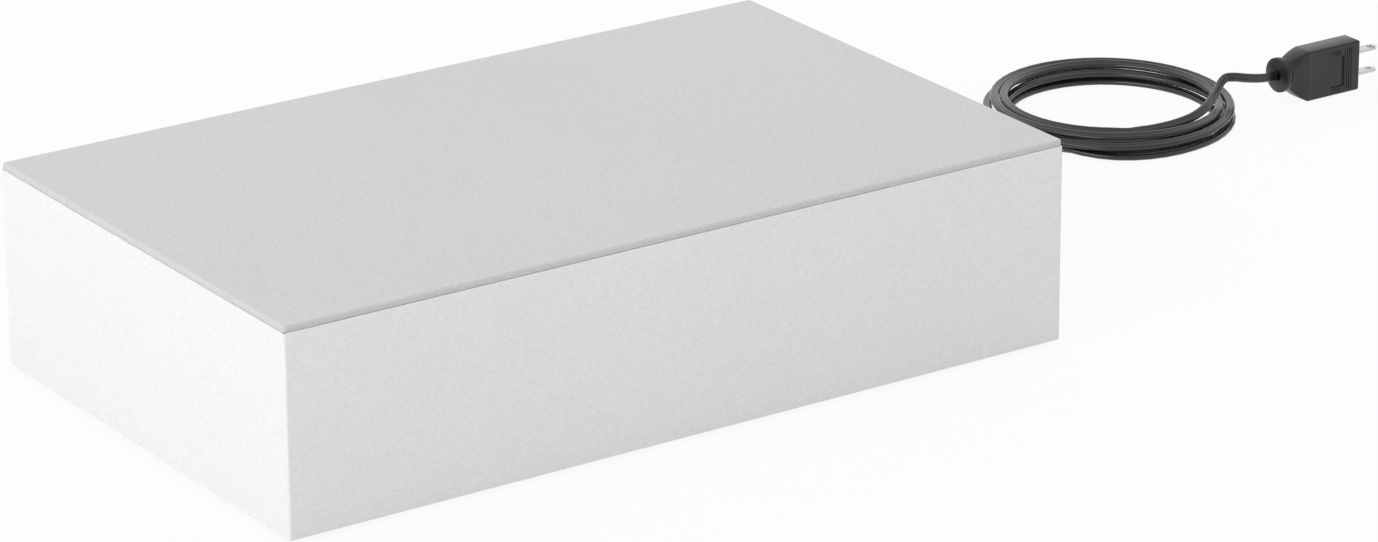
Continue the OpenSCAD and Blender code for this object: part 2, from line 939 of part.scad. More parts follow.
// Radius and height of the coil after a number of turns, on a smooth line through the keys
function coil_place(turn) =
    let (s = (turn - coil_from) * keys_per_turn)
        let (i = min(max(floor(s), 0), len(COIL_KEYS) - 2))
            let (t = s - i, a = coil_key(i - 1), b = coil_key(i))
                let (c = coil_key(i + 1), d = coil_key(i + 2))
                    b + t / 2 * ((c - a) + t * ((2 * a - 5 * b + 4 * c - d)
                        + t * (3 * b - 3 * c + d - a)));

function coil_point(turn) =
    let (place = coil_place(turn), a = coil_front_angle + 360 * turn)
        [end_x + coil_x + place[0] * cos(a), coil_y + place[0] * sin(a), place[1]];

function coil_heading(turn) = unit(coil_point(turn + 0.002) - coil_point(turn - 0.002));

function coil_roll(turn) = -cord_lean * cos(360 * turn);

COIL_TURN = [for (i = [0 : coil_rings]) coil_from + i / rings_per_turn];
coil_start_dir = coil_heading(coil_from);
coil_end_dir = coil_heading(coil_to);
coil_start = coil_point(coil_from);
coil_end = coil_point(coil_to);

// Direction of the flat cord's wide axis after a number of turns
function coil_wide(turn) =
    let (a = coil_front_angle + 360 * turn, roll = coil_roll(turn))
        [cos(a) * cos(roll), sin(a) * cos(roll), sin(roll)];

// Gap between two turns of the flat cord that pass the same angle
function turn_gap(a, b) =
    let (half = (cord_w - cord_t) / 2, step = coil_point(b) - coil_point(a))
        min([for (i = [-1 : 0.5 : 1])
            for (k = [-1 : 0.5 : 1])
                norm(step + half * (coil_wide(b) * k - coil_wide(a) * i))]) - cord_t;

least_coil_gap = min([
    for (i = [0 : coil_rings])
        for (k = [rings_per_turn : rings_per_turn : coil_rings - i])
            turn_gap(COIL_TURN[i], COIL_TURN[i + k])]);

function route_length(route) = len(route) < 2 ? 0
    : route_sum(route, len(route) - 2);

function route_sum(route, i) = i < 0 ? 0 : norm(route[i + 1] - route[i]) + route_sum(route, i - 1);

module cord_lead() {
    route = concat(from_end(LEAD_ROUTE), [coil_start]);
    free_stretch(route, [1, 0, 0], coil_start_dir, 0, coil_roll(coil_from));
}

module cord_coil() {
    route = [for (t = COIL_TURN) coil_point(t)];
    color("#2b2b2b")
        tube(route, [for (t = COIL_TURN) coil_heading(t)],
            cord_outline(cord_w, cord_t, coil_sides), [for (t = COIL_TURN) coil_roll(t)]);
    echo(least_coil_gap = least_coil_gap, coil_length = route_length(route));
}

module cord_tail() {
    route = concat([coil_end], from_end(TAIL_ROUTE));
    free_stretch(route, coil_end_dir, [1, 0, 0], coil_roll(coil_to), -90);
    echo(tail_length = route_length(route), coil_end = coil_end, coil_start = coil_start);
}

// Side view of the plug as (x, z): shoulder, then body with rounded corners
module plug_side() {
    r = plug_corner_r;
    x1 = disc_t + shoulder_l;
    x2 = x1 + plug_body_l;
    polygon([
        [disc_t, plug_neck_z - neck_r], [x1 - 2, 0.6], [x1, 0], [x2 - r, 0], [x2, r],
        [x2, plug_h - r], [x2 - r, plug_h], [x1, plug_h], [x1 - 5, plug_h - 0.9],
        [disc_t, plug_neck_z + neck_r]]);
    for (z = [r, plug_h - r])
        translate([x2 - r, z])
            circle(r, $fn = 32);
}

// Top view of the plug as (x, y), centred on its thickness
module plug_top() {
    x1 = disc_t + shoulder_l;
    x2 = x1 + plug_body_l;
    half = plug_t / 2;
    r = plug_corner_r / 2;
    polygon([
        [disc_t, -neck_r], [x1, -half], [x2 - r, -half], [x2, -half + r],
        [x2, half - r], [x2 - r, half], [x1, half], [disc_t, neck_r]]);
}

// Thin raised lines on one broad face, drawn as (x, z)
module plug_ribs() {
    x1 = disc_t + shoulder_l;
    for (i = [0 : 3])
        translate([x1 + rib_x + i * rib_pitch, rib_margin])
            square([rib_w, plug_h - 2 * rib_margin]);
    for (i = [0 : 4])
        for (z = [rib_margin, recess_z + recess_h + rib_w])
            translate([recess_x + rib_w + i * rib_pitch, z])
                square([rib_w, recess_z - rib_margin - rib_w]);
}

module plug_body() {
    x1 = disc_t + shoulder_l;
    reach = plug_h;
    color("#333333")
        translate([end_x + plug_x, plug_y, 0]) {
            difference() {
                union() {
                    intersection() {
                        translate([0, reach, 0])
                            rotate([90, 0, 0])
                                linear_extrude(2 * reach)
                                    plug_side();
                        linear_extrude(plug_h)
                            plug_top();
                        translate([0, 0, plug_neck_z])
                            along_x()
                                union() {
                                    rod_cone(neck_r, reach, disc_t, x1);
                                    rod(reach, x1, x1 + plug_body_l + CUT);
                                }
                    }
                    translate([0, 0, plug_neck_z])
                        along_x() {
                            rod(disc_r, 0, disc_t - 1.2);
                            rod(disc_step_r, disc_t - 1.4, disc_t + 0.8);
                        }
                }
                for (s = [-1, 1])
                    translate([recess_x, s * plug_t / 2 - recess_in, recess_z])
                        cube([recess_l, 2 * recess_in, recess_h]);
            }
            for (s = [0, 1])
                mirror([0, s, 0])
                    translate([0, -plug_t / 2 + 0.2, 0])
                        rotate([90, 0, 0])
                            linear_extrude(0.2 + rib_out)
                                plug_ribs();
        }
}

module plug_blades() {
    x0 = disc_t + shoulder_l + plug_body_l;
    color("gainsboro")
        for (s = [-1, 1])
            translate([end_x + plug_x + x0, plug_y, blade_z + s * blade_gap / 2 - blade_t / 2])
                difference() {
                    linear_extrude(blade_t)
                        union() {
                            translate([0, -blade_w / 2])
                                square([blade_l - blade_w / 2, blade_w]);
                            translate([blade_l - blade_w / 2, 0])
                                circle(blade_w / 2, $fn = ROUND);
                        }
                    translate([blade_hole_in, 0, 0])
                        rod(blade_hole_r, -CUT, blade_t + CUT);
                }
}

// Wiring inside the box

module wires_supply() {
    wall = end_x - 4;
    tabs = end_x - switch_depth - tab_l;
    block_end = block_x + block_l / 2;
    color("saddlebrown") {
        wire([
            [wall, 22, 18], [wall - 5, 22, 18], [wall - 12, 27, 17], [wall - 20, 40, 16],
            [wall - 28, 56, 17], [tabs - 11, switch_y - 6, 18.6],
            [tabs - 6, switch_y, switch_z - tab_offset], [tabs, switch_y, switch_z - tab_offset]]);
        wire([
            [wall, 18, 18], [wall - 5, 18, 18], [wall - 12, 12, 15], [wall - 22, -6, 10],
            [wall - 34, -28, 8.5], [wall - 46, -48, 9.5], [block_end + 8, block_y - 3, 11],
            [block_end, block_y - 3, 11]]);
        wire([
            [tabs, switch_y, switch_z + tab_offset], [tabs - 6, switch_y, switch_z + tab_offset],
            [tabs - 16, switch_y - 10, 24], [tabs - 30, 44, 14], [tabs - 34, 26, 9],
            [tabs - 34, 0, 8], [tabs - 34, -26, 8.5], [tabs - 33, -44, 10],
            [block_end + 4, block_y + 6, 12], [block_end, block_y + 6, 12]]);
    }
}

module wires_choke() {
    side = core_d / 2 + winding_w;
    top = block_y + block_w / 2;
    z = plate_z1 + 7;
    near = pole_x(1);
    far = pole_x(0);
    color("saddlebrown") {
        wire([
            [near, top, z], [near, top + 4, z], [near - 4, top + 9, z + 1],
            [CHOKE_X[1] + 5, -side - 8, z + 4], [CHOKE_X[1], -side - 4, z + 8],
            [CHOKE_X[1], -side, z + 8]]);
        wire([
            [far, top, z], [far, top + 4, z], [far - 6, top + 8, z - 2], [90, -40, z - 3],
            [30, -40, z - 4], [-40, -40, z - 4], [-88, -38, z - 2],
            [CHOKE_X[0] + 4, -side - 8, z + 4], [CHOKE_X[0], -side - 4, z + 8],
            [CHOKE_X[0], -side, z + 8]]);
    }
}

// The way from a lampholder's back down through its grommet, drawn at the right end
function holder_drop(y, side, out, low) =
    let (back = holder_x + holder_t, z = tray_z1 + out)
        [[back, y + side, z], [back + 3.5, y + side, z], [grommet_x - 0.6, y + side, z - 3],
         [grommet_x, y + side, z - 6], [grommet_x, y + side, tray_z0 - 4],
         [grommet_x - 1, y + 1.6 * side, tray_z0 - low + 4],
         [grommet_x - 8, y + 1.8 * side, tray_z0 - low]];

function turned(route) = [for (p = route) [-p[0], -p[1], p[2]]];

// One lead of each lamp to its choke, the other ends' leads to the terminal block
module wires_lamp() {
    coil_side = core_d / 2 + winding_w;
    tap_x = CHOKE_X[1] + 8;
    right_end = block_x + block_l / 2;
    to_choke = concat(holder_drop(LAMP_Y[1], -1.35, 10, 12), [
        [178, 54, 30], [150, 46, 28], [124, 40, 24], [tap_x + 2, 33.5, 20.5],
        [tap_x, coil_side + 4, 19], [tap_x, coil_side, 19]]);
    color("saddlebrown") {
        wire(to_choke);
        wire(turned(to_choke));
        wire(concat(holder_drop(LAMP_Y[0], 1.35, 10, 12), [
            [178, block_y, 29], [167, block_y, 22], [right_end + 8, block_y, 16.5],
            [right_end + 4, block_y, 15], [right_end, block_y, 15]]));
        wire(concat(turned(holder_drop(LAMP_Y[0], 1.35, 10, 12)), [
            [-176, 52, 26], [-150, 44, 16], [-110, 40, 9], [-50, 40, 8], [-18, 37, 9],
            [-4, 26, 10], [0, 8, 10], [0, -20, 10], [1, -34, 10], [6, -43, 8.5],
            [18, -46.5, 5.6], [40, -47, 5], [100, -47, 5], [116, -46, 5],
            [126, -44, 6.5], [pole_x(2) - 1, -44, 9], [pole_x(2), -47, 10.5],
            [pole_x(2), block_y + block_w / 2, 10.5]]));
    }
}

// From each end of a lamp to its starter's socket
module wires_starter() {
    sx = STARTER_X[1];
    near_end = concat(holder_drop(LAMP_Y[1], 1.35, 15, 8), [
        [160, 54, 35], [110, 46, 35], [sx + 26, 42, 34], [sx + 6, 32, 34],
        [sx, socket_r + 5, 34], [sx, socket_r, 34]]);
    far_end = concat(turned(holder_drop(LAMP_Y[0], -1.35, 15, 8)), [
        [-160, 54, 35], [-60, 48, 34], [0, 44, 31], [sx - 12, 34, 29],
        [sx - 1, socket_r + 9, 28], [sx, socket_r + 4, 28], [sx, socket_r, 28]]);
    color("ivory") {
        wire(near_end);
        wire(far_end);
        wire(turned(near_end));
        wire(turned(far_end));
    }
}

casing();
base_plate();
base_screws();
feet();
panel_seal();
reflector_tray();
tray_posts();
tray_screws();
post_screws();
grommets();
lampholders();
holder_screws();
starter_sockets();
socket_rivets();
starter_bases();
starter_cans();
choke_cores();
choke_coils();
choke_frames();
choke_screws();
terminal_block();
terminal_screws();
wires_supply();
wires_choke();
wires_lamp();
wires_starter();
switch_housing();
switch_tabs();
switch_rocker();
cord_bushing();
cord_lead();
cord_coil();
cord_tail();
plug_body();
plug_blades();
diffuser_panel();
panel_cleats();
lamp_tube(LAMP_Y[0]);  // lamp_tube_1
lamp_caps(LAMP_Y[0]);  // lamp_caps_1
lamp_pins(LAMP_Y[0]);  // lamp_pins_1
lamp_rotors(LAMP_Y[0]);  // lamp_rotors_1
lamp_tube(LAMP_Y[1]);  // lamp_tube_2
lamp_caps(LAMP_Y[1]);  // lamp_caps_2
lamp_pins(LAMP_Y[1]);  // lamp_pins_2
lamp_rotors(LAMP_Y[1]);  // lamp_rotors_2
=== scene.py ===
import math

import bmesh
import bpy
from bpy.props import (
    FloatProperty,
    FloatVectorProperty,
    IntProperty,
    PointerProperty,
)
from mathutils import Matrix, Vector


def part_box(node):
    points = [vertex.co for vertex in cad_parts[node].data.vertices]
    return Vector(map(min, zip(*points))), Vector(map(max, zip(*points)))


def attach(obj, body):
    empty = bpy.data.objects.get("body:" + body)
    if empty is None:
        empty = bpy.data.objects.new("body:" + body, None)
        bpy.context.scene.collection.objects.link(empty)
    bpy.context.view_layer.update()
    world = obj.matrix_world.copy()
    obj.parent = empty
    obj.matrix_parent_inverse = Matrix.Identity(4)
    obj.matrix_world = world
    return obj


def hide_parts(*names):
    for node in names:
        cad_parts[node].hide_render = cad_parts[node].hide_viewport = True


bl_info = {
    "name": "Desk Light Box",
    "version": (1, 0, 0),
    "blender": (4, 5, 0),
    "location": "View3D > Sidebar > Light Box",
    "description": "Dresses the packed light box: case, panel, lamps, switch, cord and plug",
    "category": "Object",
}

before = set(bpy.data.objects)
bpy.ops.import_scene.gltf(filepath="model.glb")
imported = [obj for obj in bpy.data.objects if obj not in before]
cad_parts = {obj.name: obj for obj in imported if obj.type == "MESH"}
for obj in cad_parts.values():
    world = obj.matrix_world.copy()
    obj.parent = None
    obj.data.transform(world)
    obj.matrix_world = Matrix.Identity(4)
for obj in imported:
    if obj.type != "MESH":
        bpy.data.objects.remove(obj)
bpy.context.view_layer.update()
MM = 0.001

# Tolerance within which two places are one, in metres
SAME = 1e-6

# The cord's way in millimetres, with X counted from the right end wall at END_X
END_X = 220.0
LEAD_ROUTE = [
    (30.5, 20, 18), (36, 20, 18), (47, 20.5, 16.5), (58, 23, 12.5), (69, 28, 8),
    (79, 35, 4.5), (87, 44, 2.4), (93, 55, 1.8), (96, 67, 1.8), (97, 80, 1.8),
    (97, 93, 1.8), (97, 106, 1.8), (98, 119, 1.8), (100, 132, 1.8), (104, 145, 1.8),
    (110, 157, 1.8), (119, 167, 1.8), (130, 172.4, 1.85), (141, 171.6, 1.9),
    (150.6, 165, 1.9), (157.6, 154, 1.95), (161.8, 141, 1.95), (163.6, 128, 1.95),
    (163.9, 117, 1.95),
]
TAIL_ROUTE = [
    (211, 68.4, 10.7), (221, 66.2, 10.9), (232, 65.2, 11.5), (243, 65.4, 12.8),
    (254, 68.8, 14.6), (264.5, 75.4, 16.5), (272.5, 81.2, 18.2), (278.4, 85.2, 20),
    (283, 86.8, 21), (288, 85.4, 20.8), (294, 83.8, 19.6), (301, 83.2, 18.2),
    (308, 83.2, 17.2), (315.7, 83.2, 17), (317.6, 83.2, 17),
]

# The coil, wound through keys of radius and height. Their first form was fitted to the turns'
# edges in the photo, and most were then changed. The centre lies 0.45 mm nearer the front
# than in the model's source, which keeps the smooth cord inside the box of the plainer solid.
COIL_CENTRE = (446.9, 119.75)
COIL_FRONT_ANGLE = 236.0
COIL_KEYS = [
    (63.2, 1.95), (60.0, 2.15), (61.4, 2.0), (58.8, 1.75), (56.2, 2.0), (55.2, 2.25),
    (54.4, 2.25), (54.6, 2.6), (56.6, 4.9), (59.0, 6.6), (62.2, 5.7), (62.8, 5.0),
    (58.2, 6.0), (55.3, 6.8), (54.4, 6.8), (56.8, 5.9), (62.4, 6.3), (69.5, 2.35),
    (69.6, 2.5), (67.2, 2.8), (64.4, 3.5), (63.2, 4.9), (64.0, 6.5), (65.4, 7.6),
    (67.6, 7.9), (68.6, 7.25), (67.9, 7.2), (66.8, 8.3), (65.4, 9.5), (64.2, 10.4),
    (62.5, 11.2), (61.6, 11.8), (62.4, 11.5), (62.9, 11.0), (61.9, 10.2), (60.6, 8.9),
    (60.0, 10.1), (58.7, 11.0), (57.2, 11.1), (56.4, 12.0), (55.2, 11.5), (55.0, 11.1),
]
KEYS_PER_TURN = 8
COIL_FROM = -2.125
CORD_LEAN = 34.0
PLUG_ROLL = -90.0
POINTS_PER_KEY = 6


# Sizes and colours that a user may change


class LightBoxCase(bpy.types.PropertyGroup):
    corner_radius: FloatProperty(
        name="Corner radius", description="Radius of the case's upright corners",
        default=1.5 * MM, min=0.001, max=0.004, unit="LENGTH",
    )
    fold_radius: FloatProperty(
        name="Fold radius", description="Outside radius of the sheet's folds at top and bottom",
        default=0.5 * MM, min=0.0004, max=0.001, unit="LENGTH",
    )
    ledge: FloatProperty(
        name="Ledge", description="Width of the ledge that carries the panel",
        default=12 * MM, min=0.008, max=0.016, unit="LENGTH",
    )
    paint: FloatVectorProperty(
        name="Case paint", description="Colour of the powder coat",
        default=(0.80, 0.80, 0.80), subtype="COLOR", min=0, max=1,
    )
    grain: FloatProperty(
        name="Paint grain", description="Height of the powder coat's fine texture",
        default=0.05 * MM, min=0, max=0.0002, unit="LENGTH",
    )


class LightBoxPanel(bpy.types.PropertyGroup):
    edge_radius: FloatProperty(
        name="Edge radius", description="Radius along the opal panel's upper edge",
        default=1.2 * MM, min=0.0004, max=0.0016, unit="LENGTH",
    )
    corner_radius: FloatProperty(
        name="Corner radius", description="Radius of the opal panel's corners in plan",
        default=1.5 * MM, min=0.0013, max=0.006, unit="LENGTH",
    )
    opal: FloatVectorProperty(
        name="Opal", description="Colour of the opal acrylic",
        default=(0.585, 0.585, 0.585), subtype="COLOR", min=0, max=1,
    )


class LightBoxCord(bpy.types.PropertyGroup):
    width: FloatProperty(
        name="Width", description="Width of the flat two-core cord",
        default=5.0 * MM, min=0.004, max=0.006, unit="LENGTH",
    )
    thickness: FloatProperty(
        name="Thickness", description="Thickness of the flat cord",
        default=2.9 * MM, min=0.002, max=0.0035, unit="LENGTH",
    )
    groove: FloatProperty(
        name="Groove", description="Depth of the groove between the two cores",
        default=0.14 * MM, min=0, max=0.0006, unit="LENGTH",
    )
    black: FloatVectorProperty(
        name="Cord black", description="Colour of the cord's covering",
        default=(0.009, 0.009, 0.0095), subtype="COLOR", min=0, max=1,
    )


class LightBoxPlug(bpy.types.PropertyGroup):
    edge_radius: FloatProperty(
        name="Edge radius", description="Radius of the plug body's edges",
        default=1.3 * MM, min=0.0006, max=0.0016, unit="LENGTH",
    )
    recess_depth: FloatProperty(
        name="Recess depth", description="Depth of the rectangle sunk in each broad face",
        default=0.8 * MM, min=0, max=0.001, unit="LENGTH",
    )
    black: FloatVectorProperty(
        name="Plug black", description="Colour of the moulded plug",
        default=(0.009, 0.009, 0.0095), subtype="COLOR", min=0, max=1,
    )
    nickel: FloatVectorProperty(
        name="Blade nickel", description="Colour of the blades' plating",
        default=(0.60, 0.60, 0.59), subtype="COLOR", min=0, max=1,
    )


class LightBoxLamps(bpy.types.PropertyGroup):
    phosphor: FloatVectorProperty(
        name="Phosphor", description="Colour of the unlit lamps",
        default=(0.86, 0.87, 0.86), subtype="COLOR", min=0, max=1,
    )
    reflector: FloatVectorProperty(
        name="Reflector", description="Colour of the reflector's enamel",
        default=(0.82, 0.82, 0.81), subtype="COLOR", min=0, max=1,
    )
    segments: IntProperty(
        name="Segments", description="Sides of the lamps' round parts",
        default=64, min=24, max=96,
    )


class LightBoxStage(bpy.types.PropertyGroup):
    lens: FloatProperty(
        name="Lens", description="Focal length of the camera on a 36 mm wide picture",
        default=156.35, min=20, max=400,
    )
    world_light: FloatProperty(
        name="Room light", description="Strength of the even light from all round",
        default=0.81, min=0, max=2,
    )
    backdrop_light: FloatProperty(
        name="Backdrop light", description="How much brighter the room is behind the object",
        default=0.35, min=0, max=1,
    )
    key_light: FloatProperty(
        name="Key light", description="Strength of the wide soft light from the left",
        default=1.63, min=0, max=5,
    )
    floor_colour: FloatVectorProperty(
        name="Floor", description="Colour of the pale floor",
        default=(0.74, 0.74, 0.74), subtype="COLOR", min=0, max=1,
    )


# Shared node groups


def float_socket(tree, name, in_out, default=None):
    made = tree.interface.new_socket(
        name=name, in_out=in_out, socket_type="NodeSocketFloat",
    )
    if default is not None:
        made.default_value = default


def node(tree, kind, x, y, **settings):
    made = tree.nodes.new(kind)
    made.location = (x, y)
    for key, value in settings.items():
        setattr(made, key, value)
    return made


def grain_group():
    """Fine even grain of a coat or a moulding: a height and a light and dark mottle."""
    name = "Fine Grain"
    if name in bpy.data.node_groups:
        return bpy.data.node_groups[name]
    tree = bpy.data.node_groups.new(name, "ShaderNodeTree")
    float_socket(tree, "Grains Per Metre", "INPUT", 1100.0)
    float_socket(tree, "Height", "OUTPUT")
    float_socket(tree, "Mottle", "OUTPUT")
    into = node(tree, "NodeGroupInput", -700, 0)
    out = node(tree, "NodeGroupOutput", 400, 0)
    place = node(tree, "ShaderNodeTexCoord", -700, -200)
    fine = node(tree, "ShaderNodeTexNoise", -400, 100)
    fine.inputs["Detail"].default_value = 2.0
    fine.inputs["Roughness"].default_value = 0.55
    broad = node(tree, "ShaderNodeTexNoise", -400, -200)
    broad.inputs["Detail"].default_value = 3.0
    half = node(tree, "ShaderNodeMath", -560, -200, operation="MULTIPLY")
    half.inputs[1].default_value = 0.6
    spread = node(tree, "ShaderNodeMapRange", -100, -200)
    spread.inputs["From Min"].default_value = 0.3
    spread.inputs["From Max"].default_value = 0.7
    tree.links.new(place.outputs["Object"], fine.inputs["Vector"])
    tree.links.new(place.outputs["Object"], broad.inputs["Vector"])
    tree.links.new(into.outputs["Grains Per Metre"], fine.inputs["Scale"])
    tree.links.new(into.outputs["Grains Per Metre"], half.inputs[0])
    tree.links.new(half.outputs[0], broad.inputs["Scale"])
    tree.links.new(broad.outputs["Fac"], spread.inputs["Value"])
    tree.links.new(fine.outputs["Fac"], out.inputs["Height"])
    tree.links.new(spread.outputs["Result"], out.inputs["Mottle"])
    return tree


def handling_group():
    """Slow cloudy change over a surface, as handling leaves it, from 0 to 1."""
    name = "Handling"
    if name in bpy.data.node_groups:
        return bpy.data.node_groups[name]
    tree = bpy.data.node_groups.new(name, "ShaderNodeTree")
    float_socket(tree, "Clouds Per Metre", "INPUT", 14.0)
    float_socket(tree, "Mask", "OUTPUT")
    into = node(tree, "NodeGroupInput", -700, 0)
    out = node(tree, "NodeGroupOutput", 300, 0)
    place = node(tree, "ShaderNodeTexCoord", -700, -200)
    cloud = node(tree, "ShaderNodeTexNoise", -400, 0)
    cloud.inputs["Detail"].default_value = 4.0
    spread = node(tree, "ShaderNodeMapRange", -150, 0)
    spread.inputs["From Min"].default_value = 0.35
    spread.inputs["From Max"].default_value = 0.7
    tree.links.new(place.outputs["Object"], cloud.inputs["Vector"])
    tree.links.new(into.outputs["Clouds Per Metre"], cloud.inputs["Scale"])
    tree.links.new(cloud.outputs["Fac"], spread.inputs["Value"])
    tree.links.new(spread.outputs["Result"], out.inputs["Mask"])
    return tree


# Materials


def shaded(name):
    """A material, its tree and its Principled shader; no tree if it was made before."""
    material = bpy.data.materials.get(name)
    if material is not None:
        return material, None, None
    material = bpy.data.materials.new(name)
    material.use_nodes = True
    tree = material.node_tree
    shader = next(n for n in tree.nodes if n.type == "BSDF_PRINCIPLED")
    return material, tree, shader


def scaled_colour(colour, share):
    return (colour[0] * share, colour[1] * share, colour[2] * share, 1.0)


def finish_of(
    name, colour, roughness, *, metal=0.0, specular=0.5, grain=1100.0, height=0.03 * MM,
    mottle=0.03, cloud=0.05, cloud_scale=14.0, rough_change=0.08, coat=0.0, coat_rough=0.1,
):
    """A solid finish: grain in height and colour, and slow change in colour and gloss."""
    material, tree, shader = shaded(name)
    if tree is None:
        return material
    shader.inputs["Metallic"].default_value = metal
    shader.inputs["Specular IOR Level"].default_value = specular
    shader.inputs["Coat Weight"].default_value = coat
    shader.inputs["Coat Roughness"].default_value = coat_rough
    fine = node(tree, "ShaderNodeGroup", -900, -100, node_tree=grain_group())
    fine.inputs["Grains Per Metre"].default_value = grain
    worn = node(tree, "ShaderNodeGroup", -900, -400, node_tree=handling_group())
    worn.inputs["Clouds Per Metre"].default_value = cloud_scale
    speck = node(tree, "ShaderNodeMix", -650, 200, data_type="RGBA")
    speck.inputs[6].default_value = scaled_colour(colour, 1 - mottle)
    speck.inputs[7].default_value = scaled_colour(colour, 1 + mottle)
    dull = node(tree, "ShaderNodeMix", -400, 200, data_type="RGBA", blend_type="MULTIPLY")
    dull.inputs[7].default_value = (1 - cloud, 1 - cloud, 1 - cloud, 1.0)
    tree.links.new(fine.outputs["Mottle"], speck.inputs[0])
    tree.links.new(speck.outputs[2], dull.inputs[6])
    tree.links.new(worn.outputs["Mask"], dull.inputs[0])
    tree.links.new(dull.outputs[2], shader.inputs["Base Color"])
    gloss = node(tree, "ShaderNodeMapRange", -400, -300)
    gloss.inputs["To Min"].default_value = max(0.02, roughness - rough_change / 2)
    gloss.inputs["To Max"].default_value = min(1.0, roughness + rough_change / 2)
    tree.links.new(worn.outputs["Mask"], gloss.inputs["Value"])
    tree.links.new(gloss.outputs["Result"], shader.inputs["Roughness"])
    if height > 0:
        bump = node(tree, "ShaderNodeBump", -400, -600)
        bump.inputs["Distance"].default_value = height
        tree.links.new(fine.outputs["Height"], bump.inputs["Height"])
        tree.links.new(bump.outputs["Normal"], shader.inputs["Normal"])
    return material


def case_paint():
    """White powder coat with a fine orange-peel texture."""
    case = bpy.context.scene.light_box_case
    return finish_of(
        "Powder Coat", case.paint, 0.52, specular=0.35, grain=1300, height=case.grain,
        mottle=0.045, cloud=0.012, cloud_scale=9,
    )


def opal_acrylic():
    """Opal acrylic, satin on top."""
    panel = bpy.context.scene.light_box_panel
    return finish_of(
        "Opal Acrylic", panel.opal, 0.48, specular=0.4, grain=1500, height=0.012 * MM,
        mottle=0.085, cloud=0.010, cloud_scale=7, rough_change=0.06,
    )


def reflector_enamel():
    """Gloss white enamel."""
    lamps = bpy.context.scene.light_box_lamps
    return finish_of(
        "Reflector Enamel", lamps.reflector, 0.28, specular=0.5, grain=500,
        height=0.01 * MM, mottle=0.01, cloud=0.04, cloud_scale=20,
    )


def galvanised():
    """Bright zinc plate, slightly cloudy."""
    return finish_of(
        "Zinc Plate", (0.62, 0.63, 0.65), 0.32, metal=1.0, grain=900, height=0.004 * MM,
        mottle=0.05, cloud=0.12, cloud_scale=160, rough_change=0.18,
    )


def cord_covering():
    """Satin black covering with faint lines along the cord, drawn in its own UV."""
    cord = bpy.context.scene.light_box_cord
    material, tree, shader = shaded("Cord Covering")
    if tree is None:
        return material
    shader.inputs["Specular IOR Level"].default_value = 0.75
    place = node(tree, "ShaderNodeUVMap", -1300, 0, uv_map="along")
    stretch = node(tree, "ShaderNodeMapping", -1100, 0)
    stretch.inputs["Scale"].default_value = (1.0, 26.0, 1.0)
    lines = node(tree, "ShaderNodeTexNoise", -850, 0)
    lines.inputs["Scale"].default_value = 40.0
    lines.inputs["Detail"].default_value = 3.0
    fine = node(tree, "ShaderNodeGroup", -850, -250, node_tree=grain_group())
    fine.inputs["Grains Per Metre"].default_value = 1600.0
    worn = node(tree, "ShaderNodeGroup", -850, -450, node_tree=handling_group())
    worn.inputs["Clouds Per Metre"].default_value = 60.0
    tint = node(tree, "ShaderNodeMix", -400, 200, data_type="RGBA")
    tint.inputs[6].default_value = scaled_colour(cord.black, 0.8)
    tint.inputs[7].default_value = scaled_colour(cord.black, 1.25)
    gloss = node(tree, "ShaderNodeMapRange", -400, -200)
    gloss.inputs["To Min"].default_value = 0.20
    gloss.inputs["To Max"].default_value = 0.28
    both = node(tree, "ShaderNodeMath", -550, -400, operation="ADD")
    bump = node(tree, "ShaderNodeBump", -250, -400)
    bump.inputs["Distance"].default_value = 0.004 * MM
    tree.links.new(place.outputs["UV"], stretch.inputs["Vector"])
    tree.links.new(stretch.outputs["Vector"], lines.inputs["Vector"])
    tree.links.new(worn.outputs["Mask"], tint.inputs[0])
    tree.links.new(tint.outputs[2], shader.inputs["Base Color"])
    tree.links.new(worn.outputs["Mask"], gloss.inputs["Value"])
    tree.links.new(gloss.outputs["Result"], shader.inputs["Roughness"])
    tree.links.new(lines.outputs["Fac"], both.inputs[0])
    tree.links.new(fine.outputs["Height"], both.inputs[1])
    tree.links.new(both.outputs[0], bump.inputs["Height"])
    tree.links.new(bump.outputs["Normal"], shader.inputs["Normal"])
    return material


def plug_moulding():
    """Satin black moulding with a fine spark-eroded texture."""
    plug = bpy.context.scene.light_box_plug
    return finish_of(
        "Plug Moulding", plug.black, 0.31, specular=0.55, grain=2200, height=0.012 * MM,
        mottle=0.08, cloud=0.10, cloud_scale=70, rough_change=0.10,
    )


def bushing_moulding():
    """Softer black moulding."""
    return finish_of(
        "Bushing Moulding", (0.030, 0.030, 0.031), 0.5, specular=0.45, grain=1800,
        height=0.02 * MM, mottle=0.10, cloud=0.10, cloud_scale=60,
    )


def blade_plate():
    """Plain nickel plate."""
    plug = bpy.context.scene.light_box_plug
    return finish_of(
        "Nickel Plate", plug.nickel, 0.30, metal=1.0, grain=1400, height=0.0,
        mottle=0.012, cloud=0.04, cloud_scale=70, rough_change=0.06,
    )


def switch_moulding():
    return finish_of(
        "Switch Moulding", (0.028, 0.028, 0.029), 0.36, specular=0.5, grain=2400,
        height=0.008 * MM, mottle=0.08, cloud=0.08, cloud_scale=90,
    )


def white_moulding():
    return finish_of(
        "White Moulding", (0.78, 0.78, 0.755), 0.33, specular=0.5, grain=1500,
        height=0.006 * MM, mottle=0.015, cloud=0.03, cloud_scale=60,
    )


def ivory_moulding():
    return finish_of(
        "Ivory Moulding", (0.74, 0.71, 0.60), 0.4, specular=0.45, grain=1500,
        height=0.008 * MM, mottle=0.02, cloud=0.05, cloud_scale=60,
    )


def grey_moulding():
    return finish_of(
        "Grey Moulding", (0.16, 0.16, 0.155), 0.5, specular=0.4, grain=1400,
        height=0.01 * MM, mottle=0.05, cloud=0.06, cloud_scale=60,
    )


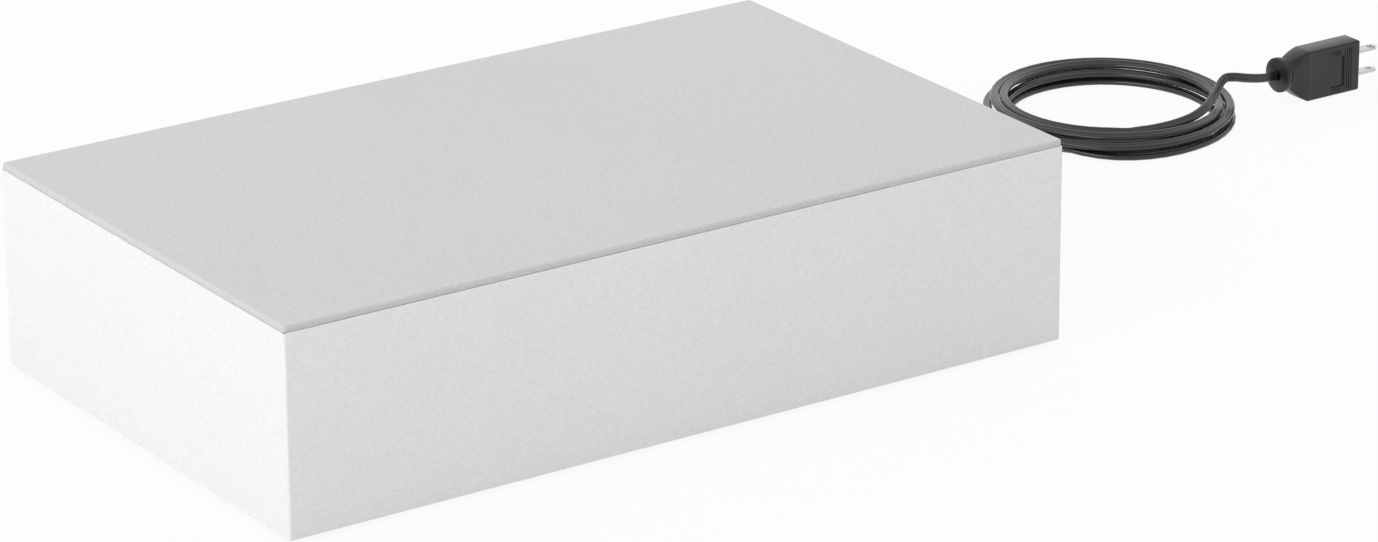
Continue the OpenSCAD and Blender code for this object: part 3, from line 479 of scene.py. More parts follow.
def lamp_glass():
    """Glass tube coated white inside: white under a clear gloss."""
    lamps = bpy.context.scene.light_box_lamps
    return finish_of(
        "Lamp Glass", lamps.phosphor, 0.5, specular=0.3, grain=700, height=0.0,
        mottle=0.01, cloud=0.02, cloud_scale=25, coat=1.0, coat_rough=0.04,
    )


def aluminium():
    return finish_of(
        "Drawn Aluminium", (0.74, 0.74, 0.74), 0.34, metal=1.0, grain=1200,
        height=0.004 * MM, mottle=0.05, cloud=0.08, cloud_scale=120, rough_change=0.12,
    )


def brass():
    return finish_of(
        "Brass", (0.66, 0.48, 0.20), 0.3, metal=1.0, grain=1500, height=0.003 * MM,
        mottle=0.06, cloud=0.12, cloud_scale=200, rough_change=0.12,
    )


def core_varnish():
    """Dark varnish over stacked steel sheets, with the sheets' edges showing as lines."""
    material, tree, shader = shaded("Core Varnish")
    if tree is None:
        return material
    shader.inputs["Metallic"].default_value = 0.3
    place = node(tree, "ShaderNodeTexCoord", -1000, 0)
    sheets = node(tree, "ShaderNodeTexWave", -750, 0, bands_direction="Y")
    sheets.inputs["Scale"].default_value = 320.0
    sheets.inputs["Distortion"].default_value = 0.6
    worn = node(tree, "ShaderNodeGroup", -750, -300, node_tree=handling_group())
    worn.inputs["Clouds Per Metre"].default_value = 80.0
    tint = node(tree, "ShaderNodeMix", -400, 100, data_type="RGBA")
    tint.inputs[6].default_value = (0.030, 0.032, 0.036, 1.0)
    tint.inputs[7].default_value = (0.075, 0.078, 0.085, 1.0)
    gloss = node(tree, "ShaderNodeMapRange", -400, -300)
    gloss.inputs["To Min"].default_value = 0.30
    gloss.inputs["To Max"].default_value = 0.5
    bump = node(tree, "ShaderNodeBump", -250, -500)
    bump.inputs["Distance"].default_value = 0.05 * MM
    tree.links.new(place.outputs["Object"], sheets.inputs["Vector"])
    tree.links.new(sheets.outputs["Fac"], tint.inputs[0])
    tree.links.new(tint.outputs[2], shader.inputs["Base Color"])
    tree.links.new(worn.outputs["Mask"], gloss.inputs["Value"])
    tree.links.new(gloss.outputs["Result"], shader.inputs["Roughness"])
    tree.links.new(sheets.outputs["Fac"], bump.inputs["Height"])
    tree.links.new(bump.outputs["Normal"], shader.inputs["Normal"])
    return material


def winding_tape():
    return finish_of(
        "Winding Tape", (0.42, 0.22, 0.06), 0.4, specular=0.5, grain=600,
        height=0.05 * MM, mottle=0.10, cloud=0.15, cloud_scale=70,
    )


def wire_covering(name, colour):
    return finish_of(
        name, colour, 0.42, specular=0.45, grain=1500, height=0.01 * MM,
        mottle=0.04, cloud=0.06, cloud_scale=60,
    )


def foot_rubber():
    return finish_of(
        "Foot Rubber", (0.026, 0.026, 0.027), 0.72, specular=0.3, grain=1600,
        height=0.04 * MM, mottle=0.12, cloud=0.2, cloud_scale=90,
    )


def foam_tape():
    """Open grey foam."""
    return finish_of(
        "Foam Tape", (0.34, 0.34, 0.34), 0.9, specular=0.2, grain=2600,
        height=0.12 * MM, mottle=0.25, cloud=0.1, cloud_scale=60,
    )


# Mesh helpers


def piece_from(bm, name, material, body, replaced=(), sharp=35.0):
    """Puts a finished mesh in the scene on its body; edges steeper than sharp stay crisp."""
    mesh = bpy.data.meshes.new(name)
    bmesh.ops.recalc_face_normals(bm, faces=bm.faces)
    for face in bm.faces:
        face.smooth = True
    bm.to_mesh(mesh)
    bm.free()
    mesh.set_sharp_from_angle(angle=math.radians(sharp))
    mesh.materials.append(material)
    piece = bpy.data.objects.new(name, mesh)
    bpy.context.scene.collection.objects.link(piece)
    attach(piece, body)
    if replaced:
        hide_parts(*replaced)
    return piece


def add_box(bm, low, high):
    """An upright box between two corners, in metres."""
    low, high = Vector(low), Vector(high)
    size = high - low
    place = Matrix.Translation((low + high) / 2) @ Matrix.Diagonal((*size, 1.0))
    bmesh.ops.create_cube(bm, size=1.0, matrix=place)


def round_edges(bm, edges, radius, segments):
    bmesh.ops.bevel(
        bm, geom=edges, offset=radius, offset_type="OFFSET", affect="EDGES",
        segments=segments, profile=0.5, material=-1, clamp_overlap=True,
    )


def upright(edge):
    a, b = (v.co for v in edge.verts)
    return abs(a.z - b.z) > SAME and (a.xy - b.xy).length < SAME


def level_at(part, z):
    """Whether every vertex of an edge or a face lies at one height."""
    return all(abs(v.co.z - z) < SAME for v in part.verts)


def add_lathe(bm, outline, place, segments=48):
    """Spins an outline of (radius, height) in millimetres about +Z, then puts it in place."""
    verts = [bm.verts.new((r * MM, 0.0, z * MM)) for r, z in outline]
    edges = [bm.edges.new(pair) for pair in zip(verts, verts[1:])]
    bmesh.ops.spin(
        bm, geom=verts + edges, cent=(0, 0, 0), axis=(0, 0, 1), dvec=(0, 0, 0),
        angle=math.tau, steps=segments, use_merge=True,
    )
    made = linked_verts(edges[0])
    bmesh.ops.remove_doubles(bm, verts=made, dist=SAME / 10)
    made = [v for v in made if v.is_valid]
    bmesh.ops.transform(bm, matrix=place, verts=made)


def linked_verts(edge):
    """Every vertex that hangs together with an edge, in the order in which they are met."""
    seen, todo = {}, list(edge.verts)
    while todo:
        vert = todo.pop()
        if vert not in seen:
            seen[vert] = True
            todo.extend(e.other_vert(vert) for e in vert.link_edges)
    return list(seen)


def along_x(x, y, z, back=False):
    """Turns +Z to +X, or to -X, and moves to a point."""
    turn = Matrix.Rotation(math.radians(-90 if back else 90), 4, "Y")
    return Matrix.Translation((x, y, z)) @ turn


def sweep(bm, rings, uv_name=None, length=None):
    """A closed skin over rings of points, all with the same count, round a cord or a body."""
    around, along = len(rings[0]), len(rings)
    made = bmesh.ops.create_grid(bm, x_segments=around, y_segments=along - 1, size=0.5)["verts"]
    for vert in made:
        i = round((vert.co.x + 0.5) * around)
        j = round((vert.co.y + 0.5) * (along - 1))
        vert.co = Vector(rings[j][i % around])
    if uv_name:
        layer = bm.loops.layers.uv.new(uv_name)
        bm.verts.index_update()
        first = made[0].index
        for face in {f for v in made for f in v.link_faces}:
            for loop in face.loops:
                k = loop.vert.index - first
                j, i = divmod(k, around + 1)
                loop[layer].uv = (length[j], i / around)
    bmesh.ops.remove_doubles(bm, verts=made, dist=SAME / 10)
    ends = [e for e in bm.edges if e.is_boundary]
    bmesh.ops.holes_fill(bm, edges=ends, sides=0)


def softened(name, source, material, body, radius, segments=2, angle=30.0):
    """A copy of a model node with merged faces and rounded edges."""
    bm = bmesh.new()
    bm.from_mesh(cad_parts[source].data)
    bmesh.ops.remove_doubles(bm, verts=bm.verts, dist=SAME)
    bmesh.ops.dissolve_limit(
        bm, angle_limit=math.radians(1.0), verts=bm.verts, edges=bm.edges,
        use_dissolve_boundaries=False,
    )
    piece = piece_from(bm, name, material, body, (source,))
    edge = piece.modifiers.new("Rounded Edges", "BEVEL")
    edge.width = radius
    edge.segments = segments
    edge.limit_method = "ANGLE"
    edge.angle_limit = math.radians(angle)
    edge.harden_normals = True


def finish_node(name, material):
    """Gives a model node its finish and leaves its mesh alone."""
    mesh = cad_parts[name].data
    mesh.materials.clear()
    mesh.materials.append(material)


# The cord's geometry


def lerp(a, b, t):
    return a + (b - a) * t


def ease(t):
    return (1 - math.cos(math.pi * t)) / 2


def smooth_route(points, parts):
    """Points on a smooth curve through the given ones."""
    made = []
    for i in range(len(points) - 1):
        a, b = points[i], points[i + 1]
        before = points[i - 1] if i else 2 * a - b
        after = points[i + 2] if i + 2 < len(points) else 2 * b - a
        for k in range(parts):
            t = k / parts
            made.append(0.5 * (
                2 * a + (b - before) * t + (2 * before - 5 * a + 4 * b - after) * t * t
                + (3 * a - before - 3 * b + after) * t ** 3
            ))
    return made + [points[-1]]


def coil_route(parts):
    """The coil's points in millimetres and the roll at each, smoothly through its keys."""
    keys = [
        Vector((COIL_FROM + i / KEYS_PER_TURN, *key)) for i, key in enumerate(COIL_KEYS)
    ]
    points, rolls = [], []
    for turn, radius, height in smooth_route(keys, parts):
        angle = math.radians(COIL_FRONT_ANGLE + 360 * turn)
        points.append(Vector((
            COIL_CENTRE[0] + radius * math.cos(angle),
            COIL_CENTRE[1] + radius * math.sin(angle), height,
        )))
        rolls.append(-CORD_LEAN * math.cos(math.tau * turn))
    return points, rolls


def cord_route():
    """The whole cord from bushing to plug: points in metres, and the roll at each."""
    parts = POINTS_PER_KEY
    shift = Vector((END_X, 0, 0))
    lead = [Vector(p) + shift for p in LEAD_ROUTE]
    tail = [Vector(p) + shift for p in TAIL_ROUTE]
    coil, rolls = coil_route(parts)
    # Both stretches are drawn one key into the coil, so that they join it smoothly, then cut back
    into = smooth_route([*lead, coil[0], coil[parts]], parts)[:-parts - 1]
    out_of = smooth_route([coil[-parts - 1], coil[-1], *tail], parts)[parts + 1:]
    first = [rolls[0] * ease(i / len(into)) for i in range(len(into))]
    last = [lerp(rolls[-1], PLUG_ROLL, ease((i + 1) / len(out_of))) for i in range(len(out_of))]
    return [p * MM for p in into + coil + out_of], first + rolls + last


def cord_outline(width, thickness, groove):
    """Half-round edges and a shallow groove between the two cores, as (wide, thin)."""
    r, c = thickness / 2, (width - thickness) / 2
    edge_steps, top_steps = 10, 8
    edge = []
    for k in range(edge_steps + 1):
        angle = math.pi * k / edge_steps - math.pi / 2
        edge.append((c + r * math.cos(angle), r * math.sin(angle)))
    top = []
    for k in range(1, top_steps):
        x = c - 2 * c * k / top_steps
        top.append((x, r - groove * math.cos(math.pi * x / (2 * c)) ** 2))
    side = edge + top
    return side + [(-x, -y) for x, y in side]


def ring_at(point, heading, outline, roll):
    """The cord's outline set square to its way at a point, turned by its roll."""
    side = heading.cross(Vector((0, 0, 1))).normalized()
    up = side.cross(heading)
    turn = math.radians(roll)
    wide = side * math.cos(turn) + up * math.sin(turn)
    thin = -side * math.sin(turn) + up * math.cos(turn)
    return [point + wide * x + thin * y for x, y in outline]


class LIGHTBOX_OT_cord(bpy.types.Operator):
    """Lay the flat mains cord from the bushing through its coil to the plug"""

    bl_idname = "light_box.cord"
    bl_label = "Mains Cord"

    def execute(self, context):
        cord = context.scene.light_box_cord
        route, rolls = cord_route()
        outline = cord_outline(cord.width, cord.thickness, cord.groove)
        rings, run = [], [0.0]
        for i, point in enumerate(route):
            before, after = route[max(i - 1, 0)], route[min(i + 1, len(route) - 1)]
            heading = (after - before).normalized()
            # Both ends run along X, out of the bushing and into the plug
            if i in (0, len(route) - 1):
                heading = Vector((1, 0, 0))
            rings.append(ring_at(point, heading, outline, rolls[i]))
            if i:
                run.append(run[-1] + (point - before).length)
        bm = bmesh.new()
        sweep(bm, rings, uv_name="along", length=run)
        piece = piece_from(
            bm, "mains_cord", cord_covering(), "box",
            ("cord_lead", "cord_coil", "cord_tail"), sharp=60,
        )
        return {"FINISHED"}


# Plug

# Sizes in millimetres; the body runs along X from the disc, and its broad faces look along Y
PLUG_X = END_X + 315.7
PLUG_Y, NECK_Z = 83.2, 17.0
PLUG_H, PLUG_T = 28.8, 13.2
DISC_T, SHOULDER_L, BODY_L = 4.7, 13.0, 36.0
DISC_R, NECK_R, STEP_R = 9.7, 8.4, 8.9
RECESS = (15.5, 24.5, 4.9, 21.9)
RIB_X, RIB_PITCH, RIB_W, RIB_H = 25.4, 1.45, 0.6, 0.42
LONG_RIBS, SHORT_RIBS = 4, 5
RIB_MARGIN, RECESS_MARGIN = 2.6, 0.7
FACE_SUNK, FACE_START, FACE_MARGIN = 0.14, 1.6, 1.9
FACE_SOFT, RECESS_SOFT, RIB_SOFT_X, RIB_SOFT_Z = 0.35, 0.25, 0.2, 0.3
MARK_STEP, EDGE_MARK, LEAST_CORNER = 0.25, 1.75, 0.05
CORD_HOLE_R, CORD_HOLE_DEPTH = 2.7, 1.8
SHOULDER_STEPS, EDGE_STEPS, END_STEPS = 14, 6, 4


def ramp(value, low, high, soft):
    """1 between low and high, falling to 0 within soft outside them."""
    if value < low:
        return max(0.0, 1 - (low - value) / soft)
    if value > high:
        return max(0.0, 1 - (value - high) / soft)
    return 1.0


def long_ribs():
    """Where the ribs between the recess and the blades start."""
    return [RIB_X + i * RIB_PITCH for i in range(LONG_RIBS)]


def short_ribs():
    """Where the ribs above and below the recess start."""
    return [RECESS[0] + RIB_W + i * RIB_PITCH for i in range(SHORT_RIBS)]


def broad_face_depth(x, z, recess_depth):
    """How far a point of the plug's broad face stands in, in millimetres."""
    low_x, high_x, low_z, high_z = RECESS
    rib_low, rib_high = RIB_MARGIN, PLUG_H - RIB_MARGIN
    along = ramp(x, FACE_START, BODY_L - FACE_MARGIN, FACE_SOFT)
    depth = FACE_SUNK * along * ramp(z, FACE_MARGIN, PLUG_H - FACE_MARGIN, FACE_SOFT)
    along = ramp(x, low_x, high_x, RECESS_SOFT)
    depth += recess_depth * along * ramp(z, low_z, high_z, RECESS_SOFT)
    ribs = [(start, rib_low, rib_high) for start in long_ribs()]
    for start in short_ribs():
        ribs += [
            (start, rib_low, low_z - RECESS_MARGIN), (start, high_z + RECESS_MARGIN, rib_high),
        ]
    for start, low, high in ribs:
        along = ramp(x, start, start + RIB_W, RIB_SOFT_X)
        depth -= RIB_H * along * ramp(z, low, high, RIB_SOFT_Z)
    return depth


def steps_through(marks, low, high):
    """Sorted places at each mark and just beside it."""
    places = {low, high}
    for mark in marks:
        for at in (mark - MARK_STEP, mark, mark + MARK_STEP):
            if low < at < high:
                places.add(round(at, 3))
    return sorted(places)


def body_ring(x, body_x, radius, inset, zs, recess_depth):
    """One ring round the plug's body at x; body_x is None off the broad faces."""
    half, low, high = PLUG_T / 2 - inset, inset, PLUG_H - inset
    r = max(radius - inset, LEAST_CORNER)
    corner = [math.pi / 2 * k / EDGE_STEPS for k in range(1, EDGE_STEPS)]
    ring = []
    for side in (-1, 1):
        face = [z for z in zs if low + r < z < high - r]
        face = [low + r, *face, high - r]
        fixed = len(zs) + 2
        while len(face) < fixed:
            face.insert(1, (face[0] + face[1]) / 2)
        if side == 1:
            face = face[::-1]
        for z in face:
            depth = broad_face_depth(body_x, z, recess_depth) if body_x is not None else 0
            ring.append((x, side * (half - depth), z))
        centre = (high - r) if side == -1 else (low + r)
        for turned, angles in ((1, corner), (-1, corner[::-1])):
            for angle in angles:
                out = half - r + r * math.cos(angle)
                ring.append((x, turned * side * out, centre - side * r * math.sin(angle)))
    return ring


def shoulder_ring(square, share):
    """One ring of the shoulder, from the round neck at share 0 to the square body at 1."""
    grow = 0.5 * math.sin(math.pi / 2 * share) + 0.5 * share
    ring = []
    for x, y, z in square:
        angle = math.atan2(z - NECK_Z, y)
        ring.append((
            lerp(DISC_T + 1.0, x, share),
            lerp(NECK_R * math.cos(angle), y, grow ** 0.9),
            lerp(NECK_Z + NECK_R * math.sin(angle), z, grow),
        ))
    return ring


def grip_disc_outline():
    """The disc and the neck behind it as (radius, height), with the cord's hole in front."""
    r, s, hole = DISC_R, STEP_R, CORD_HOLE_R
    return [
        (0, CORD_HOLE_DEPTH), (hole, CORD_HOLE_DEPTH), (hole + 0.05, 0.2), (hole + 0.25, 0.0),
        (r - 0.3, 0.0), (r - 0.09, 0.09), (r, 0.3), (r, DISC_T - 2.0),
        (r - 0.12, DISC_T - 1.6), (r - 0.5, DISC_T - 1.3), (s - 0.5, DISC_T - 1.2),
        (s - 0.5, DISC_T - 0.5), (s - 0.15, DISC_T - 0.3), (s, DISC_T), (s, DISC_T + 0.6),
        (s - 0.25, DISC_T + 0.95), (NECK_R - 0.15, DISC_T + 1.15), (0, DISC_T + 1.15),
    ]


class LIGHTBOX_OT_plug(bpy.types.Operator):
    """Mould the plug's body with its grip disc, shoulder, recess and ribs"""

    bl_idname = "light_box.plug"
    bl_label = "Plug Body"

    def execute(self, context):
        plug = context.scene.light_box_plug
        radius, recess = plug.edge_radius / MM, plug.recess_depth / MM
        zs = steps_through(
            (EDGE_MARK, RIB_MARGIN, RECESS[2] - RECESS_MARGIN, RECESS[2], RECESS[3],
             RECESS[3] + RECESS_MARGIN, PLUG_H - RIB_MARGIN, PLUG_H - EDGE_MARK),
            radius + 0.1, PLUG_H - radius - 0.1,
        )[1:-1]
        marks = [FACE_START, BODY_L - FACE_MARGIN, RECESS[0], RECESS[1]]
        for start in long_ribs() + short_ribs():
            marks += [start, start + RIB_W]
        front = DISC_T + SHOULDER_L
        square = body_ring(front, 0.0, radius, 0.0, zs, recess)
        rings = [shoulder_ring(square, k / SHOULDER_STEPS) for k in range(SHOULDER_STEPS)]
        for x in steps_through(marks, 0.0, BODY_L - radius):
            rings.append(body_ring(front + x, x, radius, 0.0, zs, recess))
        for k in range(1, END_STEPS + 1):
            angle = math.pi / 2 * k / END_STEPS
            x = front + BODY_L - radius + radius * math.sin(angle)
            rings.append(body_ring(x, None, radius, radius * (1 - math.cos(angle)), zs, recess))
        bm = bmesh.new()
        origin = Vector((PLUG_X, PLUG_Y, 0))
        sweep(bm, [[(origin + Vector(p)) * MM for p in ring] for ring in rings])
        place = along_x(PLUG_X * MM, PLUG_Y * MM, NECK_Z * MM)
        add_lathe(bm, grip_disc_outline(), place, 64)
        piece_from(
            bm, "plug_shell", plug_moulding(), "box", ("plug_body",), sharp=38,
        )
        return {"FINISHED"}


class LIGHTBOX_OT_blades(bpy.types.Operator):
    """Round the edges of the plug's two flat blades"""

    bl_idname = "light_box.blades"
    bl_label = "Plug Blades"

    def execute(self, context):
        softened("plug_blade_pair", "plug_blades", blade_plate(), "box", 0.3 * MM,
                 3, 40)
        return {"FINISHED"}


# Case and panel

SHEET_THICKNESS = 1.0 * MM
FLANGE_EXTRA = 6 * MM


class LIGHTBOX_OT_case(bpy.types.Operator):
    """Fold the white case: four walls, the panel's ledge and the flange below"""

    bl_idname = "light_box.case"
    bl_label = "Case"

    def execute(self, context):
        case = context.scene.light_box_case
        low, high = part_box("casing")
        bm = bmesh.new()
        add_box(bm, low, high)
        round_edges(bm, [e for e in bm.edges if upright(e)], case.corner_radius, 6)
        rims = [e for e in bm.edges if level_at(e, high.z) or level_at(e, low.z)]
        round_edges(bm, rims, case.fold_radius, 4)
        for z, width in ((high.z, case.ledge), (low.z, case.ledge + FLANGE_EXTRA)):
            level = [f for f in bm.faces if level_at(f, z)]
            lid = [max(level, key=lambda f: f.calc_area())]
            bmesh.ops.inset_region(bm, faces=lid, thickness=width, use_even_offset=True)
            bmesh.ops.delete(bm, geom=lid, context="FACES")
        piece = piece_from(bm, "case_shell", case_paint(), "box", ("casing",))
        sheet = piece.modifiers.new("Sheet", "SOLIDIFY")
        sheet.thickness = SHEET_THICKNESS
        sheet.offset = -1.0
        return {"FINISHED"}


class LIGHTBOX_OT_panel(bpy.types.Operator):
    """Cut the opal panel with its rounded upper edge, and its strips below"""

    bl_idname = "light_box.panel"
    bl_label = "Opal Panel"

    def execute(self, context):
        panel = context.scene.light_box_panel
        low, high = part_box("diffuser_panel")
        bm = bmesh.new()
        add_box(bm, low, high)
        round_edges(bm, [e for e in bm.edges if upright(e)], panel.corner_radius, 10)
        top = [e for e in bm.edges if level_at(e, high.z)]
        round_edges(bm, top, panel.edge_radius, 6)
        under = [e for e in bm.edges if level_at(e, low.z)]
        round_edges(bm, under, 0.1 * MM, 2)
        piece_from(
            bm, "opal_panel", opal_acrylic(), "panel", ("diffuser_panel",),
        )
        softened("panel_strips", "panel_cleats", white_moulding(), "panel", 0.4 * MM)
        return {"FINISHED"}


# Switch and bushing


class LIGHTBOX_OT_switch(bpy.types.Operator):
    """Fit the rocker switch with its bezel and dished rocker"""

    bl_idname = "light_box.switch"
    bl_label = "Rocker Switch"

    def execute(self, context):
        softened("switch_bezel", "switch_housing", switch_moulding(), "box", 0.45 * MM,
                 3)
        softened("rocker_key", "switch_rocker", switch_moulding(), "rocker", 0.35 * MM,
                 3, 40)
        return {"FINISHED"}


class LIGHTBOX_OT_bushing(bpy.types.Operator):
    """Turn the ribbed strain relief where the cord leaves the case"""

    bl_idname = "light_box.bushing"
    bl_label = "Cord Bushing"

    def execute(self, context):
        flange = [(0, -4.0), (8.1, -4.0), (8.6, -3.5), (8.6, -1.0), (6.95, -1.0), (6.95, 0.0),
                  (9.2, 0.0), (9.6, 0.4), (9.6, 1.2), (9.3, 1.9), (8.6, 2.4), (6.6, 2.6)]
        ribs = []
        for i in range(5):
            r, z = 6.2 - 0.4 * i, 3.5 + 4.6 * i
            for dr, dz in ((-0.15, 0.0), (0, 0.2), (0, 2.1), (-0.2, 2.4), (-0.8, 2.6),
                           (-0.9, 2.8), (-0.9, 4.0), (-0.75, 4.3)):
                ribs.append((r + dr, z + dz))
        nose = [(4.2, 27.6), (4.1, 29.9), (3.7, 30.35), (3.2, 30.5), (0, 30.5)]
        bm = bmesh.new()
        _, exit_y, exit_z = LEAD_ROUTE[0]
        place = along_x(END_X * MM, exit_y * MM, exit_z * MM)
        add_lathe(bm, flange + ribs + nose, place, 64)
        piece_from(
            bm, "bushing", bushing_moulding(), "box", ("cord_bushing",),
        )
        return {"FINISHED"}


# Lamps and the gear under them

GLASS_R, CAP_L, PIN_SIDE = 12.7, 11.0, 6.35
FOOT_R = 7.0


def glass_outline(half):
    """The glass from its middle to an end, drawn in to the cap, as (radius, height)."""
    radius, neck = GLASS_R, half - CAP_L
    return [
        (radius, 0.0), (radius, neck - 7.0), (radius - 0.1, neck - 4.0),
        (radius - 0.5, neck - 1.5), (radius - 0.8, neck + 1.0), (radius - 0.9, half - 3.0),
        (0.0, half - 3.0),
    ]


def cap_outline(half, r):
    """The end cap with its rolled groove, as (radius, height)."""
    return [
        (12.3, half - CAP_L), (r - 0.15, half - 10.9), (r, half - 10.6), (r, half - 9.0),
        (r - 0.35, half - 8.6), (r - 0.35, half - 7.9), (r, half - 7.5), (r, half - 1.2),
        (r - 0.3, half - 0.4), (r - 1.0, half), (9.6, half), (9.3, half - 0.5),
        (0, half - 0.5),
    ]


def pin_outline(half):
    """A pin with its rounded tip, as (radius, height)."""
    return [
        (1.2, half - 0.6), (1.2, half + 6.3), (0.9, half + 6.9), (0.4, half + 7.1),
        (0, half + 7.1),
    ]


class LIGHTBOX_OT_lamps(bpy.types.Operator):
    """Blow the two tubular lamps with their caps and pins"""

    bl_idname = "light_box.lamps"
    bl_label = "Lamps"

    def execute(self, context):
        segments = context.scene.light_box_lamps.segments
        for number in (1, 2):
            low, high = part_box(f"lamp_caps_{number}")
            centre = (low + high) / 2
            half, cap_r = (high.x - low.x) / 2 / MM, (high.z - low.z) / 2 / MM
            body = f"lamp_{number}"
            outline = glass_outline(half)
            whole = [(r, -z) for r, z in outline[::-1]] + outline[1:]
            bm = bmesh.new()
            add_lathe(bm, whole, along_x(*centre), segments)
            piece_from(
                bm, f"glass_{number}", lamp_glass(), body, (f"lamp_tube_{number}",),
            )
            bm = bmesh.new()
            for back in (False, True):
                add_lathe(bm, cap_outline(half, cap_r), along_x(*centre, back), segments)
            piece_from(
                bm, f"caps_{number}", aluminium(), body, (f"lamp_caps_{number}",),
            )
            bm = bmesh.new()
            for back in (False, True):
                for side in (-PIN_SIDE, PIN_SIDE):
                    place = along_x(centre.x, centre.y + side * MM, centre.z, back)
                    add_lathe(bm, pin_outline(half), place, 20)
            piece_from(bm, f"pins_{number}", brass(), body, (f"lamp_pins_{number}",))
            softened(f"turning_discs_{number}", f"lamp_rotors_{number}", white_moulding(), body,
                     0.2 * MM)
        return {"FINISHED"}


class LIGHTBOX_OT_gear(bpy.types.Operator):
    """Finish the reflector, the holders and the gear that sit inside the case"""

    bl_idname = "light_box.gear"
    bl_label = "Inner Gear"

    def execute(self, context):
        softened("reflector", "reflector_tray", reflector_enamel(), "box", 0.25 * MM)
        softened("holders", "lampholders", white_moulding(), "box", 0.6 * MM, 3, 40)
        softened("sockets", "starter_sockets", ivory_moulding(), "box", 0.4 * MM)
        softened("winding_blocks", "choke_coils", winding_tape(), "box", 0.8 * MM,
                 3)
        softened("choke_straps", "choke_frames", galvanised(), "box", 0.25 * MM)
        softened("block", "terminal_block", ivory_moulding(), "box", 0.4 * MM)
        plain = {
            "base_plate": case_paint(), "tray_posts": galvanised(), "grommets": foot_rubber(),
            "starter_bases": grey_moulding(), "starter_cans": aluminium(),
            "choke_cores": core_varnish(), "panel_seal": foam_tape(),
            "socket_rivets": aluminium(), "switch_tabs": brass(),
            "wires_starter": wire_covering("White Wire", (0.70, 0.69, 0.65)),
        }
        for name in ("wires_supply", "wires_choke", "wires_lamp"):
            plain[name] = wire_covering("Brown Wire", (0.10, 0.045, 0.02))
        for name, material in plain.items():
            finish_node(name, material)
        return {"FINISHED"}


class LIGHTBOX_OT_fixings(bpy.types.Operator):
    """Drive the screws and stand the case on its rubber feet"""

    bl_idname = "light_box.fixings"
    bl_label = "Screws And Feet"

    def execute(self, context):
        for name in ("base_screws", "tray_screws", "post_screws", "holder_screws",
                     "choke_screws"):
            finish_node(name, galvanised())
        finish_node("terminal_screws", brass())
        low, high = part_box("feet")
        bm = bmesh.new()
        top, r = high.z / MM, FOOT_R
        foot = [(0, 0.5), (r - 4.4, 0.5), (r - 4.0, 0.0), (r - 0.8, 0.0), (r - 0.3, 0.2),
                (r, 0.7), (r, top), (0, top)]
        for x in (low.x + r * MM, high.x - r * MM):
            for y in (low.y + r * MM, high.y - r * MM):
                add_lathe(bm, foot, Matrix.Translation((x, y, 0)))
        piece_from(bm, "rubber_feet", foot_rubber(), "box", ("feet",))
        return {"FINISHED"}


# Stage

CAMERA_PLACE = (-1.46828, -2.30582, 1.07905)
CAMERA_AHEAD = (0.52369335, 0.77479157, -0.35417976)
CAMERA_ABOVE = (0.20303343, 0.29025652, 0.93516233)
KEY_TOWARDS, KEY_SPREAD = (-0.86, -0.29, 0.42), 50
BEHIND = (0.56, 0.83, 0.0)
FLOOR_HALF, FLOOR_DROP, FLOOR_WHITE_SHARE = 30, 0.0003, 0.92


def white_when_seen(tree, shader_out, share):
    """Mixes plain white into what the camera, mirrors and glass see of a surface."""
    paths = node(tree, "ShaderNodeLightPath", -500, 300)
    seen = node(tree, "ShaderNodeMath", -300, 300, operation="MAXIMUM")
    either = node(tree, "ShaderNodeMath", -120, 300, operation="MAXIMUM")
    part = node(tree, "ShaderNodeMath", 40, 300, operation="MULTIPLY")
    part.inputs[1].default_value = share
    white = node(tree, "ShaderNodeEmission", 40, -120)
    white.inputs["Color"].default_value = (1, 1, 1, 1)
    white.inputs["Strength"].default_value = 1.0
    mix = node(tree, "ShaderNodeMixShader", 240, 100)
    tree.links.new(paths.outputs["Is Camera Ray"], seen.inputs[0])
    tree.links.new(paths.outputs["Is Glossy Ray"], seen.inputs[1])
    tree.links.new(seen.outputs[0], either.inputs[0])
    tree.links.new(paths.outputs["Is Transmission Ray"], either.inputs[1])
    tree.links.new(either.outputs[0], part.inputs[0])
    tree.links.new(part.outputs[0], mix.inputs[0])
    tree.links.new(shader_out, mix.inputs[1])
    tree.links.new(white.outputs[0], mix.inputs[2])
    return mix


def wide_lamp(name, towards, strength, spread):
    """A very large, far light: its direction as seen from the object, and its width."""
    data = bpy.data.lights.new(name, "SUN")
    data.energy = strength
    data.angle = math.radians(spread)
    lamp = bpy.data.objects.new(name, data)
    lamp.location = Vector(towards) * 3
    lamp.rotation_euler = (-Vector(towards)).to_track_quat("-Z", "Y").to_euler()
    bpy.context.scene.collection.objects.link(lamp)


